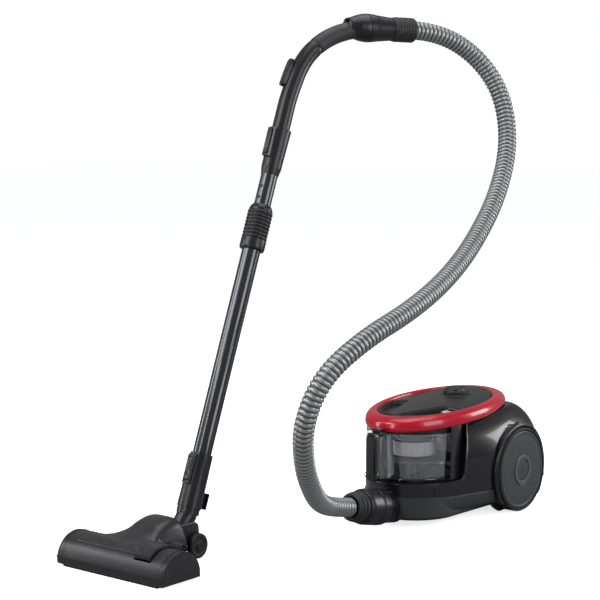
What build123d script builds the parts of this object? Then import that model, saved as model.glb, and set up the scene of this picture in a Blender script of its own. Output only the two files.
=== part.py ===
from build123d import *
from math import cos, pi, radians, sin, tan
import os

os.makedirs("parts", exist_ok=True)

# A canister vacuum cleaner. +Z is up, the machine and its nozzle face -Y, and the floor is Z = 0.
# Everything is modelled about the machine's centre plane (X = 0) and its rear axle line (Y = 0),
# and moved to its place in the row's frame when it is written.

# ---- driving dimensions, mm and degrees ----
machine_at = (70.5, 378.5)       # the machine's centre plane and rear axle line in the row's frame
wall = 3.0                       # moulded casing wall
fit = 0.05                       # radial clearance of a pin in its bore
gap = 0.3                        # clearance between pieces that move past each other

wheel_r = 85.0                   # rear wheels
wheel_in = 114.0
wheel_out = 143.0
axle_r = 8.0
arch_r = 88.5

bin_y = -185.0                   # the dust bin's centre
bin_r = 90.0
bin_floor_z = 89.0
bin_top_z = 192.5

ring_y = -106.0                  # the red ring's centre, height and tilt
ring_z = 216.0
ring_tilt = 3.4
ring_x_r = 112.0
ring_y_r = 180.0
ring_band = 20.0
ring_h = 22.0

inlet_tilt = 9.0                 # the hose inlet points forward and a little up
inlet_from = Vector(0, -300.0, 43.3)
hose_d = 37.0

wand_x = -155.0                  # the wand and nozzle lie in a plane beside the machine
wand_lean = 21.0
wand_top = Vector(wand_x, -411.0, 769.0)
grip_turn = 28.0                 # the grip is turned about the tube towards the machine
tube_r = 17.5
inner_tube_r = 16.0

motor_z = 120.0                  # the motor's axis runs front to back
cord_x = -70.0                   # the mains cord's outlet in the rear wall
cord_z = 80.0

nozzle_y = -831.0
nozzle_w = 258.0
nozzle_depth = 94.0
nozzle_top = 56.0

nodes = {}


# ---- helpers ----
def box(x0, x1, y0, y1, z0, z1):
    """A box between two corners."""
    middle = Pos((x0 + x1) / 2, (y0 + y1) / 2, (z0 + z1) / 2)
    return middle * Box(x1 - x0, y1 - y0, z1 - z0)


def rod(start, end, r, r_end=None):
    """A round bar, or a cone where the end radius differs."""
    start = Vector(start)
    along = Vector(end) - start
    place = Plane(origin=start, z_dir=along.normalized())
    low = (Align.CENTER, Align.CENTER, Align.MIN)
    if r_end is None:
        return place * Cylinder(r, along.length, align=low)
    return place * Cone(r, r_end, along.length, align=low)


def pipe(start, end, r_out, r_in):
    """A round tube with flat ends."""
    reach = (Vector(end) - Vector(start)).normalized()
    return rod(start, end, r_out) - rod(Vector(start) - reach, Vector(end) + reach, r_in)


def disc(x, y, z0, z1, r):
    """An upright cylinder between two heights."""
    return rod((x, y, z0), (x, y, z1), r)


def mirror_x(shape):
    return mirror(shape, about=Plane.YZ)


def along_x(points, x0, x1):
    """A closed Y-Z outline carried along X."""
    face = make_face(Polyline(*[(0, y, z) for y, z in points], close=True))
    return extrude(face.moved(Location((x0, 0, 0))), amount=x1 - x0, dir=(1, 0, 0))


def group(*shapes):
    """Separate solids kept in one node."""
    solids = [solid for shape in shapes for solid in shape.solids()]
    return Compound(children=solids) if len(solids) > 1 else solids[0]


# ---- casing: outer form shared by the shell and its hollow ----
def casing_form(inset):
    """The shell's outer form where plan, side and front outlines meet, moved inwards by inset."""
    half = [(98, -205), (116, -150), (132, -85), (137, -20), (136, 50), (122, 92), (80, 109)]
    right = [(x - inset, y - (inset if y > 80 else 0)) for x, y in half]
    left = [(-x, y) for x, y in reversed(right)]
    plan = make_face(Polyline(*right, *left, close=True))
    block = extrude(plan, amount=260)
    side = [(-128, 202.5 - inset), (66, 214.5 - inset), (86, 206 - inset), (104 - inset, 172)]
    side += [(109 - inset, 110), (108 - inset, 62), (70, 38), (-100, 24), (-172, 24), (-193, 60)]
    side += [(-196, 86)]
    block = block & along_x(side, -150, 150)
    shoulder = 104 - inset
    front = [(shoulder, 216), (138 - inset, 140), (138 - inset, 0)]
    points = [(x, 0, z) for x, z in front] + [(-x, 0, z) for x, z in reversed(front)]
    face = make_face(Polyline(*points, close=True))
    return block & extrude(face.moved(Location((0, 120, 0))), amount=340, dir=(0, -1, 0))


def base_plan(grow):
    """The base tray's egg-shaped plan: a round nose under the bin and a rounded rear."""
    nose = Pos(0, bin_y) * Circle(96 + grow)
    corner = 40 + grow
    rear = [Pos(side * 66, 52) * Circle(corner) for side in (-1, 1)]
    edges = ShapeList(nose.edges() + rear[0].edges() + rear[1].edges())
    return make_hull(edges)


bin_bay = disc(0, bin_y, 86.5, 230, bin_r + 4) + box(-bin_r - 4, bin_r + 4, -260, bin_y, 86.5, 230)
wells = rod((wheel_in - 6, 0, wheel_r), (160, 0, wheel_r), arch_r + 2.6)
wells = wells + mirror_x(wells)
grille_hole = box(-48, 48, 95, 120, 92, 152)

shell = casing_form(0) - (casing_form(wall) + box(-101, 101, -215, -120, 20, 199))
shell = shell - bin_bay - wells - grille_hole
shell = shell - extrude(base_plan(gap), amount=88.5)
bulkhead = disc(0, bin_y, 88.8, 199, bin_r + 6.5) - disc(0, bin_y, 80, 200, bin_r + 4)
bulkhead = bulkhead & box(-101, 101, -150, -80, 88.8, 199) & casing_form(wall - 0.5)
bulkhead = bulkhead - rod((0, -130, motor_z), (0, -60, motor_z), 30)
cord_hole = rod((cord_x, 90, cord_z), (cord_x, 120, cord_z), 8)
nodes["body_shell"] = shell + bulkhead - cord_hole


# ---- base, tray and the hose inlet ----
def inlet(distance):
    """A point on the hose inlet's axis, measured forward from the port's front face."""
    turn = radians(inlet_tilt)
    return inlet_from + Vector(0, -cos(turn), sin(turn)) * distance


port_r = 33.0
port_bore = 20.0
port_body = rod(inlet(-45), inlet(0), port_r)

castor_y = -205.0
castor_pocket = disc(0, castor_y, 0, 36, 34)
base = extrude(base_plan(0), amount=46).moved(Location((0, 0, 14)))
base = fillet(base.edges().group_by(Axis.Z)[0], 9)
hollow = extrude(base_plan(-wall), amount=46).moved(Location((0, 0, 17)))
base = base - hollow
castor_cup = disc(0, castor_y, 14, 44, 37) & extrude(base_plan(0), amount=60)
base = base + castor_cup
base = base - castor_pocket - disc(0, castor_y, 30, 50, 5 + fit)
base = base - port_body
nodes["lower_base"] = base

tray = extrude(base_plan(-1.5), amount=26).moved(Location((0, 0, 60)))
tray = tray - extrude(base_plan(-4.5), amount=22).moved(Location((0, 0, 59)))
tray = tray - box(-120, 120, -80, 120, 50, 90) - port_body
nodes["bin_tray"] = tray

nodes["inlet_port"] = port_body - rod(inlet(-50), inlet(5), port_bore)

grille = box(-47.7, 47.7, 103, 106.5, 92.3, 151.7)
for row in range(8):
    z = 97 + row * 7
    grille = grille - box(-42, 42, 100, 110, z, z + 3.2)
nodes["exhaust_grille"] = grille & casing_form(0)

bracket = box(-26, 26, 104, 121, 62, 90) - box(-17, 17, 112.5, 117.5, 50, 100)
bracket = bracket - box(-9, 9, 117, 125, 50, 100)
bracket = fillet(bracket.edges().filter_by(Axis.Z).sort_by(Axis.Y)[-4:], 1.2)
nodes["parking_bracket"] = bracket - casing_form(0)

bumper = box(112, 124, 96, 114, 52, 78) - casing_form(-gap)
nodes["rear_bumpers"] = group(bumper, mirror_x(bumper))

# ---- wheel arches, axles and rear wheels ----
arch_cut = box(100, 150, -150, 150, -20, 24)
arch = pipe((wheel_in - 3, 0, wheel_r), (138, 0, wheel_r), arch_r + 2.3, arch_r)
arch = arch + rod((wheel_in - 5, 0, wheel_r), (wheel_in - 2.5, 0, wheel_r), arch_r + 2.3)
arch = arch - arch_cut - rod((100, 0, wheel_r), (150, 0, wheel_r), axle_r)
nodes["wheel_arches"] = group(arch, mirror_x(arch))

axle = rod((96, 0, wheel_r), (138, 0, wheel_r), axle_r)
nodes["rear_axles"] = group(axle, mirror_x(axle))


def rear_wheel():
    """The wheel's disc with its raised hub and blind bore, and its tyre."""
    tyre_in = wheel_r - 5
    body = rod((wheel_in, 0, wheel_r), (wheel_out - 2, 0, wheel_r), tyre_in)
    hub = rod((wheel_out - 2, 0, wheel_r), (wheel_out - 1, 0, wheel_r), 32)
    boss = rod((wheel_out - 2, 0, wheel_r), (wheel_out, 0, wheel_r), 17.5)
    bore = rod((wheel_in - 1, 0, wheel_r), (138.5, 0, wheel_r), axle_r + fit)
    tyre = pipe((wheel_in + 1, 0, wheel_r), (wheel_out - 1, 0, wheel_r), wheel_r, tyre_in)
    tyre = fillet(tyre.edges().sort_by(SortBy.LENGTH)[-2:], 3)
    return (body + hub + boss) - bore, tyre


wheel, tyre = rear_wheel()
for name, piece in (("wheel", wheel), ("tyre", tyre)):
    nodes["left_" + name] = piece
    nodes["right_" + name] = mirror_x(piece)

# ---- front castor ----
castor_trail = 10.0
castor_r = 13.0
castor_hub = Vector(0, castor_y + castor_trail, castor_r)
fork = disc(0, castor_y, 27, 29.5, 13) + disc(0, castor_y, 29, 42, 5)
for side in (-1, 1):
    cheek = box(8.5 * side - 1.5, 8.5 * side + 1.5, castor_y - 5, castor_y + 14, 9, 28)
    fork = fork + cheek
pin_r = 2.5
castor_pin = rod(castor_hub - Vector(10, 0, 0), castor_hub + Vector(10, 0, 0), pin_r)
nodes["castor_fork"] = fork + castor_pin
nodes["castor_wheel"] = pipe(
    castor_hub - Vector(6.5, 0, 0), castor_hub + Vector(6.5, 0, 0), castor_r, pin_r + fit
)


# ---- red ring, top panel, knob ----
def on_ring(shape):
    """Move a piece drawn about the ring's middle to the ring's place and tilt."""
    return Pos(0, ring_y, ring_z) * Rot(ring_tilt, 0, 0) * shape


def oval(margin, z0, z1):
    """An oval slab in the ring's own frame, smaller than the ring's outside by margin."""
    flat = Ellipse(ring_x_r - margin, ring_y_r - margin)
    return extrude(flat, amount=z1 - z0).moved(Location((0, 0, z0)))


ring = oval(0, -ring_h / 2, ring_h / 2)
ring = fillet(ring.edges().group_by(Axis.Z)[0] + ring.edges().group_by(Axis.Z)[-1], 9)
ring = ring - oval(ring_band, -20, 20)
nodes["trim_ring"] = on_ring(ring)

knob_y = 72.0                    # in the ring's frame
knob_r = 26.0
panel_top = 12.0
panel_gap = ring_band + gap
floor_low = -10.5
floor_top = -7.5
recess_floor = oval(panel_gap, floor_low, floor_top)
nodes["recess_floor"] = on_ring(recess_floor - Pos(0, knob_y, 0) * Cylinder(6.5, 60))

crown_r = 560.0
panel = oval(panel_gap, floor_top, panel_top)
crown = Pos(0, 0, panel_top - crown_r) * Rot(90, 0, 0) * Cylinder(crown_r, 420)
lens = oval(panel_gap + 3, floor_top, 20) & box(34, 110, -150, 22, -20, 20)
lens = fillet(lens.edges().filter_by(Axis.Z), 6)
panel = (panel & crown) - lens - mirror_x(lens)
knob_seat = Pos(0, knob_y, panel_top - 4) * (Cylinder(31, 12) - Cylinder(knob_r + 1, 20))
panel = panel + knob_seat - Pos(0, knob_y, 0) * Cylinder(6 + fit, 60)
nodes["top_panel"] = on_ring(panel)
knob = Pos(0, knob_y, panel_top + gap) * Cylinder(
    knob_r, 14, align=(Align.CENTER, Align.CENTER, Align.MIN)
)
knob = fillet(knob.edges().group_by(Axis.Z)[-1], 2)
knob = knob + Pos(0, knob_y, panel_top - 6) * Cylinder(6, 20)
nodes["power_knob"] = on_ring(knob)
label = box(40, 74, 8, 18, floor_top + 0.2, floor_top + 1.4)
nodes["label_plate"] = on_ring(label)

# ---- dust bin ----
shell_foot = 85.0
bin_wall = 2.5
lid_z = 183.0
bin_out = rod((0, bin_y, bin_floor_z), (0, bin_y, lid_z), shell_foot, bin_r)
bin_in = rod((0, bin_y, bin_floor_z + 3), (0, bin_y, lid_z + 1), shell_foot - 2.4, bin_r - bin_wall)
nodes["bin_shell"] = bin_out - bin_in
lid = disc(0, bin_y, lid_z + 0.1, bin_top_z, bin_r) - disc(0, bin_y, lid_z, bin_top_z - 3, bin_r - 5)
lid = lid - rod((0, bin_y + 40, 187), (0, bin_y + 100, 187), 4)
nodes["bin_lid"] = lid
nodes["bin_seal"] = pipe((0, bin_y, 180), (0, bin_y, 182.9), bin_r - bin_wall - 0.4, bin_r - 7)
cone = disc(0, bin_y, 92.1, 130, 12) + rod((0, bin_y, 130), (0, bin_y, 160), 12, 40)
cone = cone + disc(0, bin_y, 160, 176, 40) + disc(0, bin_y, 124, 126, 84)
cone = cone - rod((0, bin_y, 136), (0, bin_y, 160), 9, 36) - disc(0, bin_y, 159.9, 180, 36)
nodes["cyclone_cone"] = cone
mesh = pipe((0, bin_y, 132), (0, bin_y, 159), 46, 43.5)
for step in range(12):
    slot = Pos(0, bin_y, 145.5) * Rot(0, 0, step * 30) * box(40, 50, -6, 6, -9, 9)
    mesh = mesh - slot
nodes["mesh_grille"] = mesh

handle_clear = box(-15, 15, bin_y - 128, bin_y - 80, 99, 184)
handle_clear = fillet(handle_clear.edges().filter_by(Axis.X), 9)
nodes["bin_handle_window"] = handle_clear - rod(
    (0, bin_y, bin_floor_z), (0, bin_y, lid_z + 8), shell_foot + gap, bin_r + 0.8
)
spine = box(-13, 13, bin_y - 143, bin_y - 128.2, 97, 190)
spine = fillet(spine.edges().filter_by(Axis.X).sort_by(Axis.Y)[:2], 7)
nodes["bin_handle_spine"] = spine
button = box(-10, 10, bin_y - 127.5, bin_y - 109, 188.2, 197)
nodes["bin_release_button"] = fillet(button.edges().filter_by(Axis.Z), 3)

# ---- inside the casing ----
motor_front = -66.0
motor_back = 6.0


def on_motor(y):
    return Vector(0, y, motor_z)


motor_r = 50.0
housing = pipe(on_motor(motor_front), on_motor(motor_back), motor_r, motor_r - wall)
housing = housing + pipe(on_motor(motor_back - wall), on_motor(motor_back), motor_r, 6 + fit)
housing = housing + pipe(on_motor(motor_front), on_motor(motor_front + wall), motor_r, 28)
nodes["motor_housing"] = housing
nodes["motor_stator"] = pipe(on_motor(-36), on_motor(-8), motor_r - wall - 0.2, 24)
impeller = rod(on_motor(-60), on_motor(-57), 42)
for step in range(9):
    blade = box(8, 41, -57, -48, -0.8, 0.8)
    impeller = impeller + Pos(0, 0, motor_z) * Rot(0, step * 40, 0) * blade
rotor = rod(on_motor(-61), on_motor(10), 6) + rod(on_motor(-34), on_motor(-10), 23)
nodes["motor_rotor"] = impeller + rotor
nodes["premotor_filter"] = rod(on_motor(-86), on_motor(-68), 33)

reel_at = Vector(0, 56, 100)
side_x = Vector(1, 0, 0)
reel = rod(reel_at - side_x * 22, reel_at + side_x * 22, 14)
for side in (-1, 1):
    reel = reel + rod(reel_at + side_x * (22 * side), reel_at + side_x * (25 * side), 34)
nodes["cord_reel"] = reel - rod(reel_at - side_x * 40, reel_at + side_x * 40, 5 + fit)
cheeks = box(-31, -28, 40, 72, 17, 112) + box(28, 31, 40, 72, 17, 112) + box(-31, 31, 40, 72, 17, 20)
nodes["reel_bracket"] = cheeks + rod(reel_at - side_x * 31, reel_at + side_x * 31, 5)
nodes["exhaust_filter"] = box(-44, 44, 93, 102, 96, 148)
posts = [disc(x, y, 17, 50, 3) for x in (-60, 60) for y in (-120, 30)]
nodes["base_screws"] = group(*posts)

# the mains cord's outlet in the rear wall
nodes["cord_outlet"] = pipe((cord_x, 100, cord_z), (cord_x, 113, cord_z), 8, 4)


# ---- hose cuff ----
cuff = pipe(inlet(2.9), inlet(66), 36, hose_d / 2 + 0.6)
cuff = cuff - pipe(inlet(26), inlet(29), 40, 34.6)
for side in (-1, 1):
    pad = Plane(origin=inlet(16), z_dir=inlet(1) - inlet(0)) * Pos(34.5 * side, 0, 0) * Box(6, 18, 22)
    cuff = cuff + pad
cuff = cuff - rod(inlet(0), inlet(70), hose_d / 2 + 0.6)
nodes["hose_cuff"] = cuff
bellows = pipe(inlet(66), inlet(94), 25, hose_d / 2 + 0.6)
for step in range(3):
    start = 66 + 9.5 * step
    bellows = bellows + pipe(inlet(start), inlet(start + 6), 30.5 - 1.5 * step, 24)
bellows = bellows + pipe(inlet(90), inlet(94), 25, 10)
nodes["cuff_bellows"] = bellows

# ---- wand: tubes, collar, neck ----
lean = radians(wand_lean)
wand_u = Vector(0, sin(lean), cos(lean))
wand_back = Vector(0, cos(lean), -sin(lean))
turn = radians(grip_turn)
grip_v = wand_back * cos(turn) + Vector(sin(turn), 0, 0)


def wand(s, out=0.0):
    """A point on the tube's axis at s from the grip coupling's top, and out towards the front."""
    return wand_top + wand_u * s - wand_back * out


def wand_block(s, out, width, length, thick):
    """A block on the tube's front side, its middle at s along the tube and out from the axis."""
    place = Plane(origin=wand(s, out), x_dir=Vector(1, 0, 0), z_dir=wand_u)
    return place * Box(width, thick, length)


upper = pipe(wand(-520), wand(-46), inner_tube_r, inner_tube_r - 1.3)
for step in range(16):
    upper = upper - wand_block(-118 - 21 * step, inner_tube_r, 8, 6, 1.4)
nodes["upper_tube"] = upper
lower = pipe(wand(-664), wand(-200), tube_r, inner_tube_r + 0.06)
nodes["lower_tube"] = lower

collar = pipe(wand(-240), wand(-152), 24, tube_r + fit)
for step in range(8):
    s = -216 + 7.2 * step
    collar = collar - pipe(wand(s), wand(s + 3.2), 26, 22.3)
collar = collar - pipe(wand(-193), wand(-140), tube_r + fit + 0.1, 10) + pipe(
    wand(-160), wand(-152), 22, inner_tube_r + 0.1
)
nodes["tube_collar"] = collar

neck_end = -732.0
neck_r = 21.0
neck = rod(wand(neck_end), wand(-632), neck_r + 1.5, neck_r)
neck = neck + wand_block(-664, 20, 17, 54, 12)
neck = neck - rod(wand(-664), wand(-620), tube_r) - rod(wand(-740), wand(-650), 15.5)
neck_pocket = wand_block(-664, 23.2, 12.4, 44.4, 7.6)
neck = neck - neck_pocket
neck_button = wand_block(-664, 24.6, 11.8, 43.8, 4.6)
nodes["neck_button"] = fillet(neck_button.edges().sort_by(SortBy.LENGTH)[-4:], 1.2)

hook = wand_block(-714, -27, 14, 30, 10) + wand_block(-714, -32.5, 24, 30, 3)
nodes["neck_socket"] = neck + (hook - rod(wand(-740), wand(-680), 18))

# ---- elbow, nozzle truck and wheels ----
pivot = Vector(wand_x, -703.0, 46.0)
elbow_top = wand(neck_end - 0.4)
elbow = rod(elbow_top, wand(neck_end - 12), 21)
elbow = elbow + rod(wand(neck_end - 11), pivot, 19, 17)
elbow = elbow + rod(wand(neck_end - 3), wand(neck_end + 14), 15.4)
elbow = elbow + rod(pivot - side_x * 18, pivot + side_x * 18, 17)
elbow = elbow - rod(wand(neck_end - 14), wand(neck_end + 20), 13)
pivot_pin_r = 6.0
elbow = elbow - rod(pivot - side_x * 40, pivot + side_x * 40, pivot_pin_r + fit)
nodes["elbow"] = elbow


def nozzle_arc(inset, x0, x1):
    """The nozzle's D-shaped section carried along X."""
    front = nozzle_y - nozzle_depth / 2 + inset
    back = nozzle_y + nozzle_depth / 2 - inset
    top = ThreePointArc((0, front, 17), (0, nozzle_y - 3, nozzle_top - inset), (0, back, 17))
    face = make_face(top + Line((0, back, 17), (0, front, 17)))
    return extrude(face.moved(Location((x0, 0, 0))), amount=x1 - x0, dir=(1, 0, 0))


half_w = nozzle_w / 2
x_left = wand_x - half_w
x_right = wand_x + half_w
cap_w = 11.0
cover = nozzle_arc(0, x_left + cap_w, x_right - cap_w) - nozzle_arc(2.5, x_left + 8, x_right - 8)

pedal_x = (wand_x + 53, wand_x + 91)
pedal_y = (nozzle_y - 36, nozzle_y + 32)
cover = cover - box(pedal_x[0] - 1, pedal_x[1] + 1, pedal_y[0] - 1, pedal_y[1] + 1, 20, 70)

hump = [(-848, 50), (-806, 70), (-768, 85), (-742, 86), (-727, 76), (-727, 26), (-786, 26)]
centre_cover = along_x(hump, wand_x - 46, wand_x + 46)
centre_cover = fillet(centre_cover.edges().filter_by(Axis.X).group_by(Axis.Z)[-1], 6)
centre_cover = centre_cover - nozzle_arc(-gap / 3, x_left, x_right)
ears = along_x([(-730, 26), (-730, 62), (-703, 66), (-684, 52), (-672, 16), (-684, 14)],
               wand_x - 25.5, wand_x + 25.5)
ears = ears - box(wand_x - 18.5, wand_x + 18.5, -726, -660, 0, 80)
truck = centre_cover + ears - rod(pivot - side_x * 18.5, pivot + side_x * 18.5, 18)
truck = truck + rod(pivot - side_x * 25, pivot + side_x * 25, pivot_pin_r)
nozzle_wheel_r = 23.0
nozzle_axle_at = Vector(wand_x, -687, nozzle_wheel_r)
nozzle_axle_r = 3.0
truck = truck + rod(nozzle_axle_at - side_x * 40, nozzle_axle_at + side_x * 40, nozzle_axle_r)
pedal_axis = Vector(wand_x, nozzle_y + 62, 46)
pedal_pin_r = 2.5
truck = truck + rod(pedal_axis, pedal_axis + side_x * 84, pedal_pin_r)
truck = truck - nozzle_arc(-gap / 3, x_left, x_right)
nodes["neck_cover"] = truck
nodes["head_cover"] = cover
wheel_pair = []
for side in (-1, 1):
    inner = nozzle_axle_at + side_x * (27 * side)
    outer = nozzle_axle_at + side_x * (41 * side)
    wheel_pair.append(pipe(inner, outer, nozzle_wheel_r, nozzle_axle_r + fit))
nodes["nozzle_wheels"] = group(*wheel_pair)

front_y = nozzle_y - nozzle_depth / 2
back_y = nozzle_y + nozzle_depth / 2
sole = box(x_left + cap_w, x_right - cap_w, front_y, back_y, 4, 16.8)
sole = sole - box(x_left + 20, x_right - 20, front_y + 6, back_y - 6, 8, 20)
sole = sole - box(x_left + 24, x_right - 24, nozzle_y - 14, nozzle_y + 14, 0, 20)
brush_y = (front_y + 12, back_y - 16)
for y in brush_y:
    sole = sole - box(x_left + 26, x_right - 26, y, y + 4.4, 0, 20)
glide = box(x_left + 14, x_right - 14, front_y + 2, front_y + 9, 0, 5)
glide_back = box(x_left + 14, x_right - 14, back_y - 9, back_y - 2, 0, 5)
nodes["sole_plate"] = sole + glide + glide_back
strips = [box(x_left + 27, x_right - 27, y + 0.5, y + 3.9, 5, 14) for y in brush_y]
brushes = strips[0] + strips[1]
for x in (x_left + 27, x_right - 33):
    brushes = brushes + box(x, x + 6, brush_y[0] + 0.5, brush_y[1] + 3.9, 13, 16)
nodes["brush_strips"] = brushes

end_cap = nozzle_arc(0, x_right - cap_w + 0.1, x_right)
end_cap = end_cap + box(x_right - cap_w + 0.1, x_right, front_y, back_y, 4, 17)
other_cap = end_cap.moved(Location((-(nozzle_w - cap_w + 0.1), 0, 0)))
nodes["end_caps"] = group(end_cap, other_cap)

pedal = nozzle_arc(-6, *pedal_x) - nozzle_arc(-1.5, x_left, x_right)
pedal = pedal & box(pedal_x[0], pedal_x[1], *pedal_y, 0, 80)
pedal = pedal + box(pedal_x[0], pedal_x[1] - 12, pedal_y[1] - 8, nozzle_y + 60, 44, 49)
pedal = pedal - nozzle_arc(-1.5, x_left, x_right)
pedal = pedal + rod(pedal_axis + side_x * 53, pedal_axis + side_x * 79, 5.5)
nodes["floor_pedal"] = pedal - rod(pedal_axis, pedal_axis + side_x * 90, pedal_pin_r + fit)

# ---- grip: coupling, pipe, slider, hose connector ----
grip_path = [(-30, 0), (70, 0), (150, 10), (211, 50), (252, 112), (287, 223)]


def grip(s, t):
    """A point in the grip's own plane."""
    return wand_top + wand_u * s + grip_v * t


coupling = rod(wand(-92), wand(-78), 16.6, 19) + rod(wand(-78), wand(0), 19, 21)
coupling = coupling + wand_block(-32, 20, 15, 56, 14)
coupling = coupling - rod(wand(-95), wand(-46), inner_tube_r) - rod(wand(-60), wand(5), 14)
coupling = coupling - rod(wand(-30), wand(5), 17.1)
coupling = coupling - wand_block(-32, 25, 11.4, 48.4, 7.4)
nodes["grip_coupling"] = coupling
grip_button = wand_block(-32, 26.6, 10.8, 47.8, 4.6)
nodes["grip_button"] = fillet(grip_button.edges().sort_by(SortBy.LENGTH)[-4:], 1.2)

corner_radii = [260, 95, 120, 90]
grip_line = FilletPolyline(*[grip(s, t) for s, t in grip_path], radius=corner_radii)
bell_dir = (grip(*grip_path[-1]) - grip(*grip_path[-2])).normalized()


def conn(distance):
    """A point on the hose connector's axis, measured back from its hose end."""
    return grip(287, 223) - bell_dir * distance


ring_face = Plane(origin=grip(-30, 0), z_dir=wand_u) * (Circle(17) - Circle(14.4))
whole_pipe = sweep(ring_face, path=grip_line)
whole_pipe = whole_pipe - rod(conn(102), conn(-20), 60)
seam = Plane(origin=grip(168, 22), z_dir=(wand_u * 62 + grip_v * 42).normalized())
nodes["grip_pipe"] = split(whole_pipe, bisect_by=seam, keep=Keep.BOTTOM)
upper_half = split(whole_pipe, bisect_by=seam, keep=Keep.TOP)
bell = rod(conn(136), conn(104), 23, 28) + rod(conn(104), conn(76), 17)
bore = rod(conn(140), conn(70), 14.4)
nodes["grip_bend"] = (upper_half + bell) - bore

connector = rod(conn(103.6), conn(49), 28, 21) - rod(conn(74), conn(40), 16)
nodes["hose_connector"] = connector - rod(conn(110), conn(73), 17 + fit)
sleeve = pipe(conn(48.9), conn(0), 24.5, hose_d / 2 + 0.6)
for step in range(9):
    sleeve = sleeve - pipe(conn(44 - 4.8 * step), conn(41.8 - 4.8 * step), 27, 23)
sleeve = sleeve + pipe(conn(4), conn(0), 23, 12)
clip = Plane(origin=conn(24), x_dir=wand_u, z_dir=bell_dir) * Pos(-27, 0, 0) * Box(8, 16, 26)
nodes["connector_sleeve"] = sleeve + (clip - rod(conn(60), conn(-5), 24))

slide_at = grip(110, 5)
slide_dir = (grip(150, 10) - grip(70, 0)).normalized()
slide_out = (grip(120, -75) - grip(110, 5)).normalized()
slide_place = Plane(origin=slide_at + slide_out * 19, x_dir=slide_dir, z_dir=slide_out)
slider = slide_place * Box(58, 17, 12)
slider = slider - rod(slide_at - slide_dir * 60, slide_at + slide_dir * 60, 17 + gap)
nodes["suction_slider"] = slider

# ---- hose ----
# Chosen points of the hose's route, from the inlet cuff to the grip's connector.
route = [
    (0, -393.0, 58.0), (0, -440, 65.4), (14, -502, 86), (54, -576, 128), (98, -654, 192),
    (132, -700, 274), (158, -678, 356), (179, -590, 412), (184, -465, 449), (168, -330, 492),
    (140, -195, 549), (110, -58, 640), (80, 32, 744), (48, 52, 848), (10, 8, 924),
    (-25, -74, 964), (-50, -124, 966),
]
points = [Vector(*p) for p in route]
points[0] = inlet(94.05)
points[1] = inlet(141)
points[-1] = conn(-0.05)
points[-2] = conn(-55)
corners = []
for before, here, after in zip(points, points[1:], points[2:]):
    bend = radians((here - before).get_angle(after - here))
    shorter = min((here - before).length, (after - here).length)
    corners.append(0.45 * shorter / tan(bend / 2))
hose_line = FilletPolyline(*points, radius=corners)
start_plane = Plane(origin=points[0], z_dir=(points[1] - points[0]).normalized())
hose = sweep(start_plane * Circle(hose_d / 2), path=hose_line)
nodes["hose_tube"] = hose

for name, shape in nodes.items():
    placed = shape.moved(Location((machine_at[0], machine_at[1], 0)))
    export_step(placed, "parts/" + name + ".step")

print("nodes", len(nodes))
print("hose radii in diameters", [round(r / hose_d, 1) for r in corners])
section = pi * hose_d ** 2 / 4
ratio = hose.volume / section / hose_line.length
print("hose length", round(hose_line.length, 1), "volume ratio", round(ratio, 4))
place = Location((machine_at[0], machine_at[1], 0))
others = [shape.moved(place) for name, shape in nodes.items() if name != "hose_tube"]
print("box without the hose", Compound(children=others).bounding_box())
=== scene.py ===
import math

import bmesh
import bpy
import numpy as np
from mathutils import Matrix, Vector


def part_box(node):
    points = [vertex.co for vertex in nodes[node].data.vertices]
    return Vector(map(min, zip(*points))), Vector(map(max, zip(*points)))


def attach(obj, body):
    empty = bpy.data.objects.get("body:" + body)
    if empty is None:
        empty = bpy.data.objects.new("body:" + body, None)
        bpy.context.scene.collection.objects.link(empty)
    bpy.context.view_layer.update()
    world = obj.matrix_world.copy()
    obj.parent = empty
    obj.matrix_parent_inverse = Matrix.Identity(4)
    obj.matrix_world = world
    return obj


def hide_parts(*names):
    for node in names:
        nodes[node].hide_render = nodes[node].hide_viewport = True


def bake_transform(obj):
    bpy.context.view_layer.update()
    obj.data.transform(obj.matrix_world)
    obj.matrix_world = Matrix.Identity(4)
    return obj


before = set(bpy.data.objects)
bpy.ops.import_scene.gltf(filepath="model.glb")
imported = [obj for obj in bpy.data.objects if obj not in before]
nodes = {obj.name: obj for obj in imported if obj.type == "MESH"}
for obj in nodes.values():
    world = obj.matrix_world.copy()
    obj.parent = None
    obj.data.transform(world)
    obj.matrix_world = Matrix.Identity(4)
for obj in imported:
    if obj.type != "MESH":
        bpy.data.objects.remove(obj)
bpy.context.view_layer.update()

# Pieces are worked out in millimetres about the machine: x = 0 is its centre plane,
# y = 0 its rear axle line and z = 0 the floor. The wheels' boxes say where that is.
leftWheelLow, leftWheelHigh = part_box("left_wheel")
rightWheelLow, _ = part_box("right_wheel")
machineCentre = np.array([(leftWheelHigh.x + rightWheelLow.x) / 2,
                          (leftWheelHigh.y + leftWheelLow.y) / 2, 0.0])


def inRow(points):
    # machine millimetres to metres in the object's frame
    return machineCentre + np.asarray(points, float) / 1000


def unit(v):
    v = np.asarray(v, float)
    return v / np.linalg.norm(v)


# ---- camera and lights ----
cameraSettings = {"at": (1799.8, -2766.0, 755.0), "pitch": 84.2, "turn": 39.0, "lens": 96.0}
cameraData = bpy.data.cameras.new("camera")
cameraData.lens = cameraSettings["lens"]
cameraData.clip_end = 50
camera = bpy.data.objects.new("camera", cameraData)
camera.location = inRow(cameraSettings["at"])
camera.rotation_euler = (math.radians(cameraSettings["pitch"]), 0, math.radians(cameraSettings["turn"]))
bpy.context.scene.collection.objects.link(camera)
bpy.context.scene.camera = camera

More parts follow.
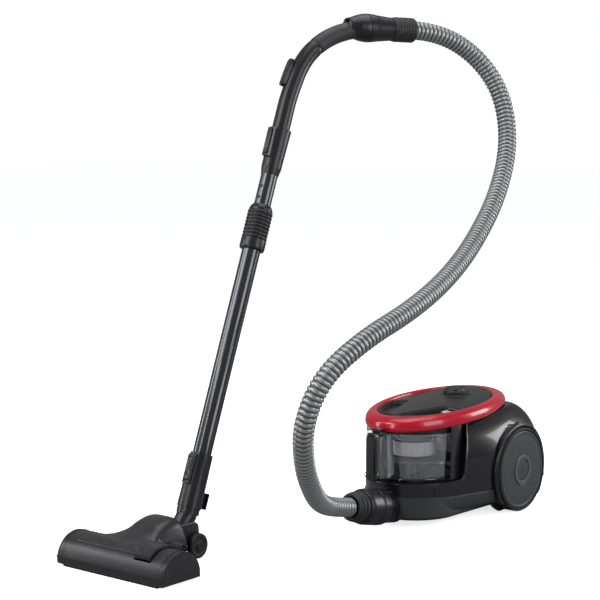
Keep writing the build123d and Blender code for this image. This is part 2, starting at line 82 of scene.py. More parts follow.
lightSettings = {
    "key": {"at": (-0.9, -2.3, 2.3), "size": (1.6, 1.6), "power": 62},
    "rightFill": {"at": (2.7, -0.1, 1.1), "size": (1.3, 1.8), "power": 40},
    "frontStrip": {"at": (0.1, -3.1, 0.9), "size": (0.45, 1.9), "power": 26},
    "leftStrip": {"at": (-2.3, -1.7, 0.9), "size": (0.5, 2.2), "power": 34},
    "rearRight": {"at": (2.1, 2.7, 1.0), "size": (1.3, 1.5), "power": 60},
    "overhead": {"at": (0.2, 0.3, 3.0), "size": (2.4, 2.0), "power": 52},
}
for lightName, s in lightSettings.items():
    lightData = bpy.data.lights.new(lightName, "AREA")
    lightData.shape = "RECTANGLE"
    lightData.size, lightData.size_y = s["size"]
    lightData.energy = s["power"]
    light = bpy.data.objects.new(lightName, lightData)
    light.location = s["at"]
    aim = bpy.data.objects.new(lightName + "Aim", None)
    aim.location = (0, 0, 0.35)
    track = light.constraints.new("TRACK_TO")
    track.target = aim
    bpy.context.scene.collection.objects.link(light)
    bpy.context.scene.collection.objects.link(aim)

world = bpy.data.worlds.new("paleStudio")
world.use_nodes = True
skyTree = world.node_tree
skyTree.nodes["Background"].inputs["Color"].default_value = (0.93, 0.94, 0.95, 1)
rays = skyTree.nodes.new("ShaderNodeLightPath").outputs
seen = skyTree.nodes.new("ShaderNodeMath")
seen.operation = "MAXIMUM"
skyTree.links.new(rays["Is Camera Ray"], seen.inputs[0])
skyTree.links.new(rays["Is Transmission Ray"], seen.inputs[1])
seenDirectly = seen.outputs[0]
skyStrength = skyTree.nodes.new("ShaderNodeMapRange")     # white behind the object, dimmer as a light
skyStrength.inputs["To Min"].default_value = 0.30
skyStrength.inputs["To Max"].default_value = 1.1
skyTree.links.new(seenDirectly, skyStrength.inputs["Value"])
skyTree.links.new(skyStrength.outputs["Result"], skyTree.nodes["Background"].inputs["Strength"])
bpy.context.scene.world = world
bpy.context.scene.view_settings.view_transform = "Standard"
print("camera and lights ready")


# ---- effects shared by the materials ----
def newGroup(name, inputs, outputs):
    group = bpy.data.node_groups.new(name, "ShaderNodeTree")
    for label, kind, value in inputs:
        socket = group.interface.new_socket(name=label, in_out="INPUT", socket_type=kind)
        socket.default_value = value
    for label, kind in outputs:
        group.interface.new_socket(name=label, in_out="OUTPUT", socket_type=kind)
    return group, group.nodes.new("NodeGroupInput"), group.nodes.new("NodeGroupOutput")


def mathNode(tree, operation, first, second):
    node = tree.nodes.new("ShaderNodeMath")
    node.operation = operation
    for i, value in enumerate((first, second)):
        if isinstance(value, (int, float)):
            node.inputs[i].default_value = value
        else:
            tree.links.new(value, node.inputs[i])
    return node.outputs[0]


def noiseNode(tree, scale, detail=3.0, stretch=None):
    coords = tree.nodes.new("ShaderNodeTexCoord").outputs["Object"]
    if stretch:
        mapping = tree.nodes.new("ShaderNodeMapping")
        mapping.inputs["Scale"].default_value = stretch
        tree.links.new(coords, mapping.inputs["Vector"])
        coords = mapping.outputs[0]
    noise = tree.nodes.new("ShaderNodeTexNoise")
    tree.links.new(coords, noise.inputs["Vector"])
    noise.inputs["Detail"].default_value = detail
    if isinstance(scale, (int, float)):
        noise.inputs["Scale"].default_value = scale
    else:
        tree.links.new(scale, noise.inputs["Scale"])
    return noise.outputs["Fac"]


def mixColor(tree, factor, first, second):
    mix = tree.nodes.new("ShaderNodeMix")
    mix.data_type = "RGBA"
    for socket, value in ((mix.inputs[0], factor), (mix.inputs[6], first), (mix.inputs[7], second)):
        if hasattr(value, "is_output"):
            tree.links.new(value, socket)
        else:
            socket.default_value = value
    return mix.outputs[2]


def buildMouldedSkin():
    # broad drift in shade and gloss, with the fine sand grain of a moulding tool
    group, start, end = newGroup("mouldedSkin", [
        ("Colour", "NodeSocketColor", (0.1, 0.1, 0.1, 1)), ("Shade Drift", "NodeSocketFloat", 0.1),
        ("Roughness", "NodeSocketFloat", 0.4), ("Gloss Drift", "NodeSocketFloat", 0.05),
        ("Grain Scale", "NodeSocketFloat", 900.0)],
        [("Colour", "NodeSocketColor"), ("Roughness", "NodeSocketFloat"), ("Grain", "NodeSocketFloat")])
    drift = mathNode(group, "SUBTRACT", noiseNode(group, 9.0, 4.0), 0.5)
    shade = mathNode(group, "ADD", mathNode(group, "MULTIPLY", drift, start.outputs["Shade Drift"]), 1.0)
    scaled = group.nodes.new("ShaderNodeVectorMath")
    scaled.operation = "SCALE"
    group.links.new(start.outputs["Colour"], scaled.inputs[0])
    group.links.new(shade, scaled.inputs["Scale"])
    group.links.new(scaled.outputs[0], end.inputs["Colour"])
    gloss = mathNode(group, "MULTIPLY", mathNode(group, "SUBTRACT", noiseNode(group, 26.0), 0.5),
                     start.outputs["Gloss Drift"])
    group.links.new(mathNode(group, "ADD", start.outputs["Roughness"], gloss), end.inputs["Roughness"])
    group.links.new(noiseNode(group, start.outputs["Grain Scale"], 2.0), end.inputs["Grain"])
    return group


def buildHandlingMarks():
    # hairline scratches: a long thin noise, cut to its crests
    group, start, end = newGroup("handlingMarks", [("Amount", "NodeSocketFloat", 0.3)],
                                 [("Mask", "NodeSocketFloat")])
    streaks = noiseNode(group, 40.0, 6.0, stretch=(9.0, 9.0, 0.7))
    crests = mathNode(group, "MULTIPLY", mathNode(group, "GREATER_THAN", streaks, 0.64), streaks)
    patches = mathNode(group, "GREATER_THAN", noiseNode(group, 14.0, 2.0), 0.5)
    mask = mathNode(group, "MULTIPLY", mathNode(group, "MULTIPLY", crests, patches), start.outputs["Amount"])
    group.links.new(mask, end.inputs["Mask"])
    return group


def buildSettledDust():
    # a thin film where the surface faces up, broken by noise
    group, start, end = newGroup("settledDust", [("Amount", "NodeSocketFloat", 0.1)],
                                 [("Mask", "NodeSocketFloat")])
    facing = group.nodes.new("ShaderNodeSeparateXYZ")
    group.links.new(group.nodes.new("ShaderNodeNewGeometry").outputs["Normal"], facing.inputs[0])
    upward = mathNode(group, "MAXIMUM", facing.outputs["Z"], 0.0)
    film = mathNode(group, "MULTIPLY", mathNode(group, "POWER", upward, 3.0), noiseNode(group, 60.0, 5.0))
    group.links.new(mathNode(group, "MULTIPLY", film, start.outputs["Amount"]), end.inputs["Mask"])
    return group


mouldedSkin = buildMouldedSkin()
handlingMarks = buildHandlingMarks()
settledDust = buildSettledDust()

# one entry for each finish: colour, gloss and how much grain, wear and dust it carries
finishSettings = {
    "glossBlack": {"colour": (0.006, 0.006, 0.007), "rough": 0.10, "grain": 0.0, "coat": 0.7,
                   "marks": 0.03, "dust": 0.01},
    "panelBlack": {"colour": (0.008, 0.008, 0.009), "rough": 0.30, "grain": 0.05, "marks": 0.1, "dust": 0.03},
    "satinBlack": {"colour": (0.008, 0.008, 0.009), "rough": 0.36, "grain": 0.15, "marks": 0.1, "dust": 0.03},
    "knobBlack": {"colour": (0.010, 0.010, 0.011), "rough": 0.42, "grain": 0.1, "dust": 0.02},
    "casingBlack": {"colour": (0.006, 0.006, 0.007), "rough": 0.21, "grain": 0.0, "coat": 0.3, "marks": 0.03,
                    "dust": 0.01},
    # pale grey painted light for the middle of the wall behind the bin
    "bayPaintedLight": {"colour": (0.48, 0.49, 0.51), "rough": 0.45, "grain": 0.1},
    "hubGrey": {"colour": (0.050, 0.053, 0.060), "rough": 0.36, "grain": 0.1, "dust": 0.03},
    # near-black painted shade for the sheets in the finger recesses
    "recessShadeBlack": {"colour": (0.002, 0.002, 0.002), "rough": 0.30, "grain": 0.0, "marks": 0.02},
    "seamBlack": {"colour": (0.003, 0.003, 0.003), "rough": 0.6, "grain": 0.0},
    "archGrey": {"colour": (0.014, 0.015, 0.018), "rough": 0.42, "grain": 0.25, "dust": 0.04},
    "wheelGrey": {"colour": (0.027, 0.029, 0.034), "rough": 0.36, "grain": 0.1, "dust": 0.04, "marks": 0.1},
    "baseGrey": {"colour": (0.021, 0.022, 0.025), "rough": 0.55, "grain": 0.35, "dust": 0.05},
    "nozzleGrey": {"colour": (0.012, 0.012, 0.014), "rough": 0.31, "grain": 0.06, "marks": 0.2, "dust": 0.05},
    "fittingGrey": {"colour": (0.009, 0.009, 0.011), "rough": 0.32, "grain": 0.05, "marks": 0.02,
                    "dust": 0.02},
    "ringRed": {"colour": (0.34, 0.0, 0.014), "rough": 0.25, "grain": 0.0, "coat": 0.35, "dust": 0.01},
    "hoseGrey": {"colour": (0.27, 0.275, 0.285), "rough": 0.30, "grain": 0.1, "dust": 0.06},
    "tubePaint": {"colour": (0.030, 0.032, 0.038), "rough": 0.20, "grain": 0.03, "metal": 0.6, "coat": 0.5,
                  "marks": 0.05},
    "tyreBlack": {"colour": (0.010, 0.010, 0.011), "rough": 0.62, "grain": 0.5, "dust": 0.1},
    "softRubber": {"colour": (0.018, 0.018, 0.020), "rough": 0.50, "grain": 0.3, "dust": 0.05},
    "castSteel": {"colour": (0.52, 0.52, 0.53), "rough": 0.30, "grain": 0.1, "metal": 1.0, "marks": 0.3},
    "innerGrey": {"colour": (0.26, 0.27, 0.29), "rough": 0.50, "grain": 0.2},
    "columnBlack": {"colour": (0.020, 0.021, 0.024), "rough": 0.35, "grain": 0.1},
    "labelSilver": {"colour": (0.55, 0.56, 0.58), "rough": 0.36, "grain": 0.05, "metal": 0.3},
}


plasticShine = 0.28


def buildFinish(name, s):
    material = bpy.data.materials.new(name)
    material.use_nodes = True
    tree = material.node_tree
    shader = tree.nodes["Principled BSDF"]
    skin = tree.nodes.new("ShaderNodeGroup")
    skin.node_tree = mouldedSkin
    skin.inputs["Colour"].default_value = (*s["colour"], 1)
    skin.inputs["Shade Drift"].default_value = 0.25
    skin.inputs["Roughness"].default_value = s["rough"]
    skin.inputs["Gloss Drift"].default_value = 0.25 * s["rough"]
    colour, rough = skin.outputs["Colour"], skin.outputs["Roughness"]
    if s.get("marks"):
        marks = tree.nodes.new("ShaderNodeGroup")
        marks.node_tree = handlingMarks
        marks.inputs["Amount"].default_value = s["marks"]
        colour = mixColor(tree, marks.outputs["Mask"], colour, (0.30, 0.30, 0.31, 1))
        rough = mathNode(tree, "ADD", rough, marks.outputs["Mask"])
    if s.get("dust"):
        dust = tree.nodes.new("ShaderNodeGroup")
        dust.node_tree = settledDust
        dust.inputs["Amount"].default_value = s["dust"]
        colour = mixColor(tree, dust.outputs["Mask"], colour, (0.42, 0.40, 0.37, 1))
        rough = mathNode(tree, "ADD", rough, dust.outputs["Mask"])
    tree.links.new(colour, shader.inputs["Base Color"])
    tree.links.new(rough, shader.inputs["Roughness"])
    if s["grain"]:
        bump = tree.nodes.new("ShaderNodeBump")
        bump.inputs["Strength"].default_value = s["grain"]
        bump.inputs["Distance"].default_value = 0.0004
        tree.links.new(skin.outputs["Grain"], bump.inputs["Height"])
        tree.links.new(bump.outputs[0], shader.inputs["Normal"])
    shader.inputs["Metallic"].default_value = s.get("metal", 0.0)
    shader.inputs["Coat Weight"].default_value = s.get("coat", 0.0)
    shader.inputs["Coat Roughness"].default_value = 0.04
    shader.inputs["Specular IOR Level"].default_value = plasticShine
    return material


finishes = {name: buildFinish(name, s) for name, s in finishSettings.items()}


def buildClear(name, tint, rough):
    # clear plastic: smoke tint, faint swirls in its gloss
    material = bpy.data.materials.new(name)
    material.use_nodes = True
    tree = material.node_tree
    shader = tree.nodes["Principled BSDF"]
    skin = tree.nodes.new("ShaderNodeGroup")
    skin.node_tree = mouldedSkin
    skin.inputs["Colour"].default_value = (*tint, 1)
    skin.inputs["Shade Drift"].default_value = 0.1
    skin.inputs["Roughness"].default_value = rough
    skin.inputs["Gloss Drift"].default_value = 0.5 * rough
    tree.links.new(skin.outputs["Colour"], shader.inputs["Base Color"])
    tree.links.new(skin.outputs["Roughness"], shader.inputs["Roughness"])
    shader.inputs["Transmission Weight"].default_value = 1.0
    shader.inputs["IOR"].default_value = 1.46
    # most of the light falls through the plastic on to what is inside
    rays = tree.nodes.new("ShaderNodeLightPath").outputs
    dimmed = mathNode(tree, "MULTIPLY", rays["Is Shadow Ray"], -0.8)
    tree.links.new(mathNode(tree, "ADD", dimmed, 1.0), shader.inputs["Alpha"])
    return material


def buildFoam():
    # open-cell foam and felt: dark pores between pale threads
    material = bpy.data.materials.new("filterFoam")
    material.use_nodes = True
    tree = material.node_tree
    shader = tree.nodes["Principled BSDF"]
    pores = tree.nodes.new("ShaderNodeTexVoronoi")
    pores.inputs["Scale"].default_value = 520.0
    tree.links.new(tree.nodes.new("ShaderNodeTexCoord").outputs["Object"], pores.inputs["Vector"])
    tree.links.new(mixColor(tree, pores.outputs["Distance"], (0.06, 0.06, 0.07, 1), (0.4, 0.4, 0.42, 1)),
                   shader.inputs["Base Color"])
    bump = tree.nodes.new("ShaderNodeBump")
    bump.inputs["Distance"].default_value = 0.001
    tree.links.new(pores.outputs["Distance"], bump.inputs["Height"])
    tree.links.new(bump.outputs[0], shader.inputs["Normal"])
    shader.inputs["Roughness"].default_value = 0.9
    return material


def paintGrooveShade():
    # painted shade in the hose's grooves: the colour darkens with each groove's depth, and the crests keep the
    # skin's colour
    tree = finishes["hoseGrey"].node_tree
    shader = tree.nodes["Principled BSDF"]
    depth = tree.nodes.new("ShaderNodeAttribute")
    depth.attribute_name = "grooveDepth"
    skinColour = shader.inputs["Base Color"].links[0].from_socket
    shaded = mixColor(tree, mathNode(tree, "POWER", depth.outputs["Fac"], 0.7), skinColour,
                      (0.012, 0.012, 0.013, 1))
    tree.links.new(shaded, shader.inputs["Base Color"])
    shader.inputs["Metallic"].default_value = 0.5


paintGrooveShade()
finishes["smokedClear"] = buildClear("smokedClear", (0.84, 0.85, 0.87), 0.04)
finishes["handleClear"] = buildClear("handleClear", (0.22, 0.225, 0.24), 0.22)
finishes["filterFoam"] = buildFoam()

nodeFinish = {
    "glossBlack": ["body_shell", "power_knob", "bin_handle_spine", "bin_release_button"],
    "panelBlack": ["recess_floor", "top_panel", "bin_lid"],
    "satinBlack": ["exhaust_grille", "parking_bracket", "rear_bumpers", "castor_fork", "mesh_grille",
                   "cord_outlet", "nozzle_wheels"],
    "archGrey": ["wheel_arches"],
    "wheelGrey": ["left_wheel", "right_wheel"],
    "baseGrey": ["lower_base"],
    "casingBlack": ["bin_tray", "inlet_port", "hose_cuff"],
    "nozzleGrey": ["head_cover", "neck_cover", "floor_pedal", "end_caps", "sole_plate"],
    "fittingGrey": ["neck_socket", "neck_button", "elbow", "tube_collar", "grip_coupling", "grip_button",
                    "grip_pipe", "grip_bend", "hose_connector", "suction_slider"],
    "ringRed": ["trim_ring"],
    "hoseGrey": ["hose_tube"],
    "tubePaint": ["upper_tube", "lower_tube"],
    "tyreBlack": ["left_tyre", "right_tyre", "castor_wheel"],
    "softRubber": ["bin_seal", "cuff_bellows", "connector_sleeve"],
    "castSteel": ["rear_axles", "motor_stator", "motor_rotor", "base_screws"],
    "innerGrey": ["motor_housing", "cord_reel", "reel_bracket"],
    "columnBlack": ["cyclone_cone"],
    "labelSilver": ["label_plate"],
    "smokedClear": ["bin_shell", "bin_handle_window"],
    "filterFoam": ["premotor_filter", "exhaust_filter", "brush_strips"],
}
for finish, names in nodeFinish.items():
    for nodeName in names:
        nodes[nodeName].data.materials.clear()
        nodes[nodeName].data.materials.append(finishes[finish])
print("materials ready")


# ---- surface helpers ----
def gridFaces(rows, cols, closeRows=False, closeCols=False):
    # quads between neighbouring grid points, wrapping round where a direction is closed
    r = np.arange(rows if closeRows else rows - 1)[:, None]
    c = np.arange(cols if closeCols else cols - 1)[None, :]
    r2, c2 = (r + 1) % rows, (c + 1) % cols
    return np.stack([r * cols + c, r2 * cols + c, r2 * cols + c2, r * cols + c2], -1).reshape(-1, 4)


def makePiece(name, points, faces, finish, body, stands=()):
    # a mesh object from machine-millimetre points; it rides on a body and may stand for CAD nodes
    mesh = bpy.data.meshes.new(name)
    mesh.from_pydata(inRow(points.reshape(-1, 3)).tolist(), [], [list(f) for f in faces])
    mesh.materials.append(finishes[finish])
    mesh.shade_smooth()
    piece = bpy.data.objects.new(name, mesh)
    bpy.context.scene.collection.objects.link(piece)
    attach(piece, body)
    if stands:
        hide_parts(*stands)
    return piece


def smoothStep(low, high, value):
    t = np.clip((value - low) / (high - low), 0, 1)
    return t * t * (3 - 2 * t)


def smoothLine(points, count):
    # quadratic B-spline: each control point pulls an arc that runs between the mid-points beside it
    p = np.asarray(points, float)
    starts = (p[:-2] + p[1:-1]) / 2
    ends = (p[1:-1] + p[2:]) / 2
    starts[0], ends[-1] = p[0], p[-1]
    t = np.linspace(0, len(p) - 2, count)
    i = np.minimum(t.astype(int), len(p) - 3)
    u = (t - i)[:, None]
    return (1 - u) ** 2 * starts[i] + 2 * u * (1 - u) * p[i + 1] + u ** 2 * ends[i]


def softCorners(profile, radius, steps=5):
    # each inner corner becomes a small arc that starts and ends one radius from it, at most 0.45 of a run
    p = np.asarray(profile, float)
    before, after = p[:-2] - p[1:-1], p[2:] - p[1:-1]
    lengthBefore = np.linalg.norm(before, axis=1, keepdims=True)
    lengthAfter = np.linalg.norm(after, axis=1, keepdims=True)
    a = p[1:-1] + before / lengthBefore * np.minimum(radius, 0.45 * lengthBefore)
    b = p[1:-1] + after / lengthAfter * np.minimum(radius, 0.45 * lengthAfter)
    u = np.linspace(0, 1, steps)[None, :, None]
    arcs = (1 - u) ** 2 * a[:, None] + 2 * u * (1 - u) * p[1:-1][:, None] + u ** 2 * b[:, None]
    return np.vstack([p[:1], arcs.reshape(-1, p.shape[1]), p[-1:]])


def turned(origin, axis, profile, sides=72, ripple=None):
    # a profile of (distance along the axis, radius) carried round the axis; a closed solid's profile
    # starts and ends at radius 0. ripple(angle, along, radius) changes the radius where it isn't round
    axis = unit(axis)
    side = unit(np.cross(axis, (0, 0, 1) if abs(axis[2]) < 0.9 else (1, 0, 0)))
    up = np.cross(axis, side)
    angle = np.linspace(0, 2 * np.pi, sides, endpoint=False)[None, :]
    along, radius = profile[:, 0][:, None], profile[:, 1][:, None]
    if ripple:
        radius = ripple(angle, along, radius)
    radius = radius * np.ones_like(angle)
    ring = np.cos(angle)[..., None] * side + np.sin(angle)[..., None] * up
    return np.asarray(origin, float) + along[..., None] * axis + radius[..., None] * ring


def closeUp(piece, facing=None):
    # merges the points that meet at a pole or seam and turns every face outwards; an open sheet has no
    # inside, so the side that should look outwards is given as a direction
    work = bmesh.new()
    work.from_mesh(piece.data)
    bmesh.ops.remove_doubles(work, verts=work.verts, dist=1e-6)
    bmesh.ops.dissolve_degenerate(work, edges=work.edges, dist=1e-7)
    bmesh.ops.recalc_face_normals(work, faces=work.faces)
    if facing and sum((face.normal * face.calc_area()).dot(facing) for face in work.faces) < 0:
        bmesh.ops.reverse_faces(work, faces=work.faces)
    work.to_mesh(piece.data)
    work.free()
    piece.data.shade_smooth()
    return piece


def addWall(piece, thickness, offset):
    wall = piece.modifiers.new("wall", "SOLIDIFY")
    wall.thickness = thickness
    wall.offset = offset


def turnedPiece(name, origin, axis, profile, finish, body, stands=(), sides=72, ripple=None):
    points = turned(origin, axis, np.asarray(profile, float), sides, ripple)
    faces = gridFaces(points.shape[0], sides, closeCols=True)
    piece = closeUp(makePiece(name, points, faces, finish, body, stands))
    normals = piece.modifiers.new("evenNormals", "WEIGHTED_NORMAL")
    normals.keep_sharp = True
    return piece


# ---- directions of the wand, grip, hose inlet and connector ----
inletFrom = np.array([0, -300.0, 43.3])
inletDir = np.array([0, -math.cos(math.radians(9)), math.sin(math.radians(9))])
wandTop = np.array([-155.0, -411.0, 769.0])
wandDir = np.array([0, math.sin(math.radians(21)), math.cos(math.radians(21))])
wandBack = np.array([0, math.cos(math.radians(21)), -math.sin(math.radians(21))])
gripSide = math.sin(math.radians(28)) * np.array([1.0, 0, 0]) + math.cos(math.radians(28)) * wandBack


def onInlet(d):
    return inletFrom + inletDir * d


def onWand(s, out=0.0):
    return wandTop + wandDir * s - wandBack * out


def onGrip(s, t):
    return wandTop + wandDir * s + gripSide * t


connectorEnd = np.array([-50.31, -124.33, 966.38])
connectorDir = unit(onGrip(287, 223) - onGrip(252, 112))


def onConnector(d):
    return connectorEnd - connectorDir * d


# ---- the hose ----
hoseSettings = {"diameter": 37.0, "length": 1685.0, "pitch": 9.2, "groove": 2.9, "sides": 40, "rowsPerRib": 6}
hoseRoute = np.array([
    onInlet(94.05) / 1000, onInlet(141) / 1000,
    (0.014, -0.502, 0.086), (0.054, -0.576, 0.128), (0.098, -0.654, 0.192), (0.132, -0.700, 0.274),
    (0.158, -0.678, 0.356), (0.179, -0.590, 0.412), (0.184, -0.465, 0.449), (0.168, -0.330, 0.492),
    (0.140, -0.195, 0.549), (0.110, -0.058, 0.640), (0.080, 0.032, 0.744), (0.048, 0.052, 0.848),
    (0.010, 0.008, 0.924),
    onConnector(-55) / 1000, onConnector(-0.05) / 1000])


def splinePoints(name, controls, resolution):
    # the points of a smooth NURBS line through a route's control points, in metres
    curve = bpy.data.curves.new(name, "CURVE")
    curve.dimensions = "3D"
    spline = curve.splines.new("NURBS")
    spline.points.add(len(controls) - 1)
    spline.points.foreach_set("co", np.c_[controls, np.ones(len(controls))].ravel())
    spline.order_u = 3
    spline.use_endpoint_u = True
    spline.resolution_u = resolution
    holder = bpy.data.objects.new(name, curve)
    bpy.context.scene.collection.objects.link(holder)
    line = bpy.data.meshes.new_from_object(holder)
    co = np.zeros(len(line.vertices) * 3)
    line.vertices.foreach_get("co", co)
    bpy.data.objects.remove(holder)
    bpy.data.curves.remove(curve)
    return co.reshape(-1, 3)


def evenly(line, count):
    # points at equal distances along a fine line, and their directions
    lengths = np.r_[0, np.cumsum(np.linalg.norm(np.diff(line, axis=0), axis=1))]
    at = np.linspace(0, lengths[-1], count)
    even = np.stack([np.interp(at, lengths, line[:, k]) for k in range(3)], 1)
    return even, np.gradient(even, axis=0), lengths[-1]


def carried(line, directions, radius, sides, reference):
    # a round section of the given radii carried along a line; the reference direction keeps it from turning
    t = directions / np.linalg.norm(directions, axis=1, keepdims=True)
    side = reference - (t @ reference)[:, None] * t
    side = side / np.linalg.norm(side, axis=1, keepdims=True)
    up = np.cross(t, side)
    angle = np.linspace(0, 2 * np.pi, sides, endpoint=False)
    ring = np.cos(angle)[None, :, None] * side[:, None] + np.sin(angle)[None, :, None] * up[:, None]
    return line[:, None] + radius[:, None, None] * ring


def makeHose():
    s = hoseSettings
    route = splinePoints("hoseRoute", hoseRoute, 24) * 1000
    ribs = round(s["length"] / s["pitch"])
    line, directions, length = evenly(route, ribs * s["rowsPerRib"] + 1)
    # each rib is a round crest, and the grooves between them are narrow
    phase = np.arange(len(line)) / s["rowsPerRib"]
    crest = np.abs(np.sin(np.pi * phase)) ** 0.7
    radius = s["diameter"] / 2 - s["groove"] * (1 - crest)
    points = carried(line, directions, radius, s["sides"], np.array([1.0, 0, 0]))
    faces = gridFaces(len(line), s["sides"], closeCols=True).tolist()
    faces.append(list(range(s["sides"] - 1, -1, -1)))
    faces.append(list(range((len(line) - 1) * s["sides"], len(line) * s["sides"])))
    hose = makePiece("ribbed_hose", points, faces, "hoseGrey", "canister", ["hose_tube"])
    # how deep each ring of points lies in a groove, which drives the painted shade in the grooves
    depth = hose.data.attributes.new("grooveDepth", "FLOAT", "POINT")
    depth.data.foreach_set("value", np.repeat(1 - crest, s["sides"]))
    hose.parent = None
    closeUp(hose)
    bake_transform(hose)
    print("hose ready", round(length, 1))


makeHose()
def ribs(start, end, count, low, high, power=0.6, perRib=8):
    # a row of round crests between narrow grooves, as (along, radius) pairs
    along = np.linspace(start, end, count * perRib + 1)
    crest = np.abs(np.sin(np.pi * count * (along - start) / (end - start))) ** power
    return np.stack([along, low + (high - low) * crest], 1)


# ---- casing ----
shellSettings = {"wellRadius": 91.0, "wellFrom": 100.0, "axleZ": 85.0, "wall": 2.6, "rows": 96, "columns": 300,
                 "bayRadius": 96.6, "bayY": -185.0, "skirtTop": 58.0, "dropFrom": 130, "dropOver": 80,
                 "dropY": 66, "dropSlope": 0.0619, "grilleHalf": (48, 30), "grilleZ": 122, "grilleY": 95,
                 "rimZ": (91, 206)}


def makeBodyShell():
    s = shellSettings
    # half the plan from the front edge along the side to the middle of the rear
    plan = smoothLine([(80, -238), (93, -216), (105, -178), (129, -97), (139, -30), (138, 45), (130, 88),
                       (98, 106), (40, 108.8), (0, 108.8)], 900)
    step = np.r_[0, np.cumsum(np.linalg.norm(np.diff(plan, axis=0), axis=1))]
    planAt = step / step[-1]
    # each level: height, width scale, rear scale, front edge's y
    levels = smoothLine([(24.5, 0.60, 0.40, -168), (24.5, 0.86, 0.58, -222), (30, 0.955, 0.64, -228),
                         (48, 0.99, 0.86, -232), (66, 1.0, 0.985, -232), (81, 1.0, 1.0, -232),
                         (84.5, 1.0, 1.0, -228), (86.5, 1.0, 1.0, -196), (88.5, 1.0, 1.0, -171),
                         (96, 1.0, 1.0, -164),
                         (112, 1.0, 1.0, -162), (135, 0.99, 0.995, -159),
                         (160, 0.935, 0.955, -152), (182, 0.855, 0.875, -144), (198, 0.775, 0.755, -135),
                         (209, 0.715, 0.60, -122), (213, 0.66, 0.50, -105),
                         (213, 0.45, 0.45, -96), (213, 0.30, 0.30, -95)], s["rows"])
    z, wide, rear, front = (levels[:, k][:, None] for k in range(4))
    edge = np.interp(front[:, 0], plan[:, 1], planAt)[:, None]
    half = np.linspace(0, 1, s["columns"] // 2)[None, :]
    at = edge + (1 - edge) * half
    x = np.interp(at, planAt, plan[:, 0]) * wide
    y = np.interp(at, planAt, plan[:, 1])
    y = np.where(y > 0, y * rear, y)
    drop = np.clip((z - s["dropFrom"]) / s["dropOver"], 0, 1)
    height = z + drop * (y - s["dropY"]) * s["dropSlope"]
    side = np.stack(np.broadcast_arrays(x, y, height), -1)
    other = side[:, -2::-1] * (-1, 1, 1)
    points = np.concatenate([side, other], 1)
    rows, cols = points.shape[:2]
    flat = points.reshape(-1, 3)
    faces = gridFaces(rows, cols)[:, ::-1]

    # the wheel wells: faces inside the circle go, and the points that are left move out to it
    def wellDistance(p):
        return np.hypot(p[:, 1], p[:, 2] - s["axleZ"])

    inside = (wellDistance(flat) < s["wellRadius"]) & (np.abs(flat[:, 0]) > s["wellFrom"])
    faces = faces[inside[faces].sum(1) < 3]
    grilleX, grilleHigh = s["grilleHalf"]
    grille = (np.abs(flat[:, 0]) < grilleX) & (np.abs(flat[:, 2] - s["grilleZ"]) < grilleHigh)
    grille = grille & (flat[:, 1] > s["grilleY"])
    faces = faces[~grille[faces].all(1)]
    away = wellDistance(flat)
    moved = inside & np.isin(np.arange(len(flat)), faces)
    ratio = s["wellRadius"] / np.maximum(away, 1)
    flat[moved, 1] *= ratio[moved]
    flat[moved, 2] = s["axleZ"] + (flat[moved, 2] - s["axleZ"]) * ratio[moved]
    # a glossy casing above a matt skirt: both come from the one grid
    low = flat[faces][:, :, 2].mean(1) < s["skirtTop"]
    for name, chosen, finish, slot, stands in (
            ("casing_shell", ~low, "casingBlack", "gloss_black", ["body_shell"]),
            ("casing_skirt", low, "baseGrey", "dark_grey", [])):
        used = np.unique(faces[chosen])
        renumber = np.zeros(len(flat), int)
        renumber[used] = np.arange(len(used))
        kept = renumber[faces[chosen]]
        shell = closeUp(makePiece(name, flat[used], kept, finish, "canister", stands))
        addWall(shell, s["wall"] / 1000, -1)
    # a frame strip from each front edge in to the bin's bay, a fine bead on the edge, a lip round each well
    for hand in (1, -1):
        rim = flat.reshape(rows, cols, 3)[:, 0 if hand == 1 else -1]
        rim = rim[(rim[:, 2] > s["rimZ"][0]) & (rim[:, 2] < s["rimZ"][1])]
        line, directions, _ = evenly(rim, 80)
        bayY = line[:, 1] + 7
        bayX = hand * np.sqrt(np.maximum(s["bayRadius"] ** 2 - (bayY - s["bayY"]) ** 2, 0))
        bayLine = np.stack([bayX, bayY, line[:, 2]], 1)
        share = np.linspace(0, 1, 8)[None, :, None]
        strip = line[:, None] * (1 - share) + bayLine[:, None] * share
        strip[..., 1] += 2.5 * np.sin(np.pi * share[..., 0])
        frameStrip = makePiece(f"bay_frame_{'left' if hand == 1 else 'right'}", strip,
                               gridFaces(len(line), 8), "panelBlack", "canister")
        closeUp(frameStrip)
        addWall(frameStrip, 0.002, -1)
        step = np.arange(80)
        thick = 0.05 + 1.85 * smoothStep(0, 8, step) * smoothStep(79, 71, step)
        bead = carried(line, directions, thick, 10, np.array([1.0, 0, 0]))
        tube = makePiece(f"edge_bead_{'left' if hand == 1 else 'right'}", bead,
                         gridFaces(80, 10, closeCols=True), "glossBlack", "canister")
        closeUp(tube)
        angle = np.linspace(math.radians(-38), math.radians(218), 120)
        lipLine = np.stack([hand * (137.2 - 8.5 * np.clip(np.abs(np.cos(angle)) - 0.55, 0, 1) ** 1.2
                                    - 5.0 * np.clip(np.sin(angle) - 0.45, 0, 1)),
                            91.6 * np.cos(angle), 85 + 91.6 * np.sin(angle)], 1)
        lip = carried(lipLine, np.gradient(lipLine, axis=0), np.full(120, 2.5), 12, np.array([1.0, 0, 0]))
        lipPiece = makePiece(f"well_lip_{'left' if hand == 1 else 'right'}", lip,
                             gridFaces(120, 12, closeCols=True), "casingBlack", "canister")
        closeUp(lipPiece)
    print("casing ready")


makeBodyShell()

# ---- the red ring and the knob ----
ringTilt = math.radians(3.4)
ringOut = np.array([1.0, 0, 0])
ringLong = np.array([0, math.cos(ringTilt), math.sin(ringTilt)])
ringUp = np.array([0, -math.sin(ringTilt), math.cos(ringTilt)])
ringMiddle = np.array([0, -106.0, 216.0])


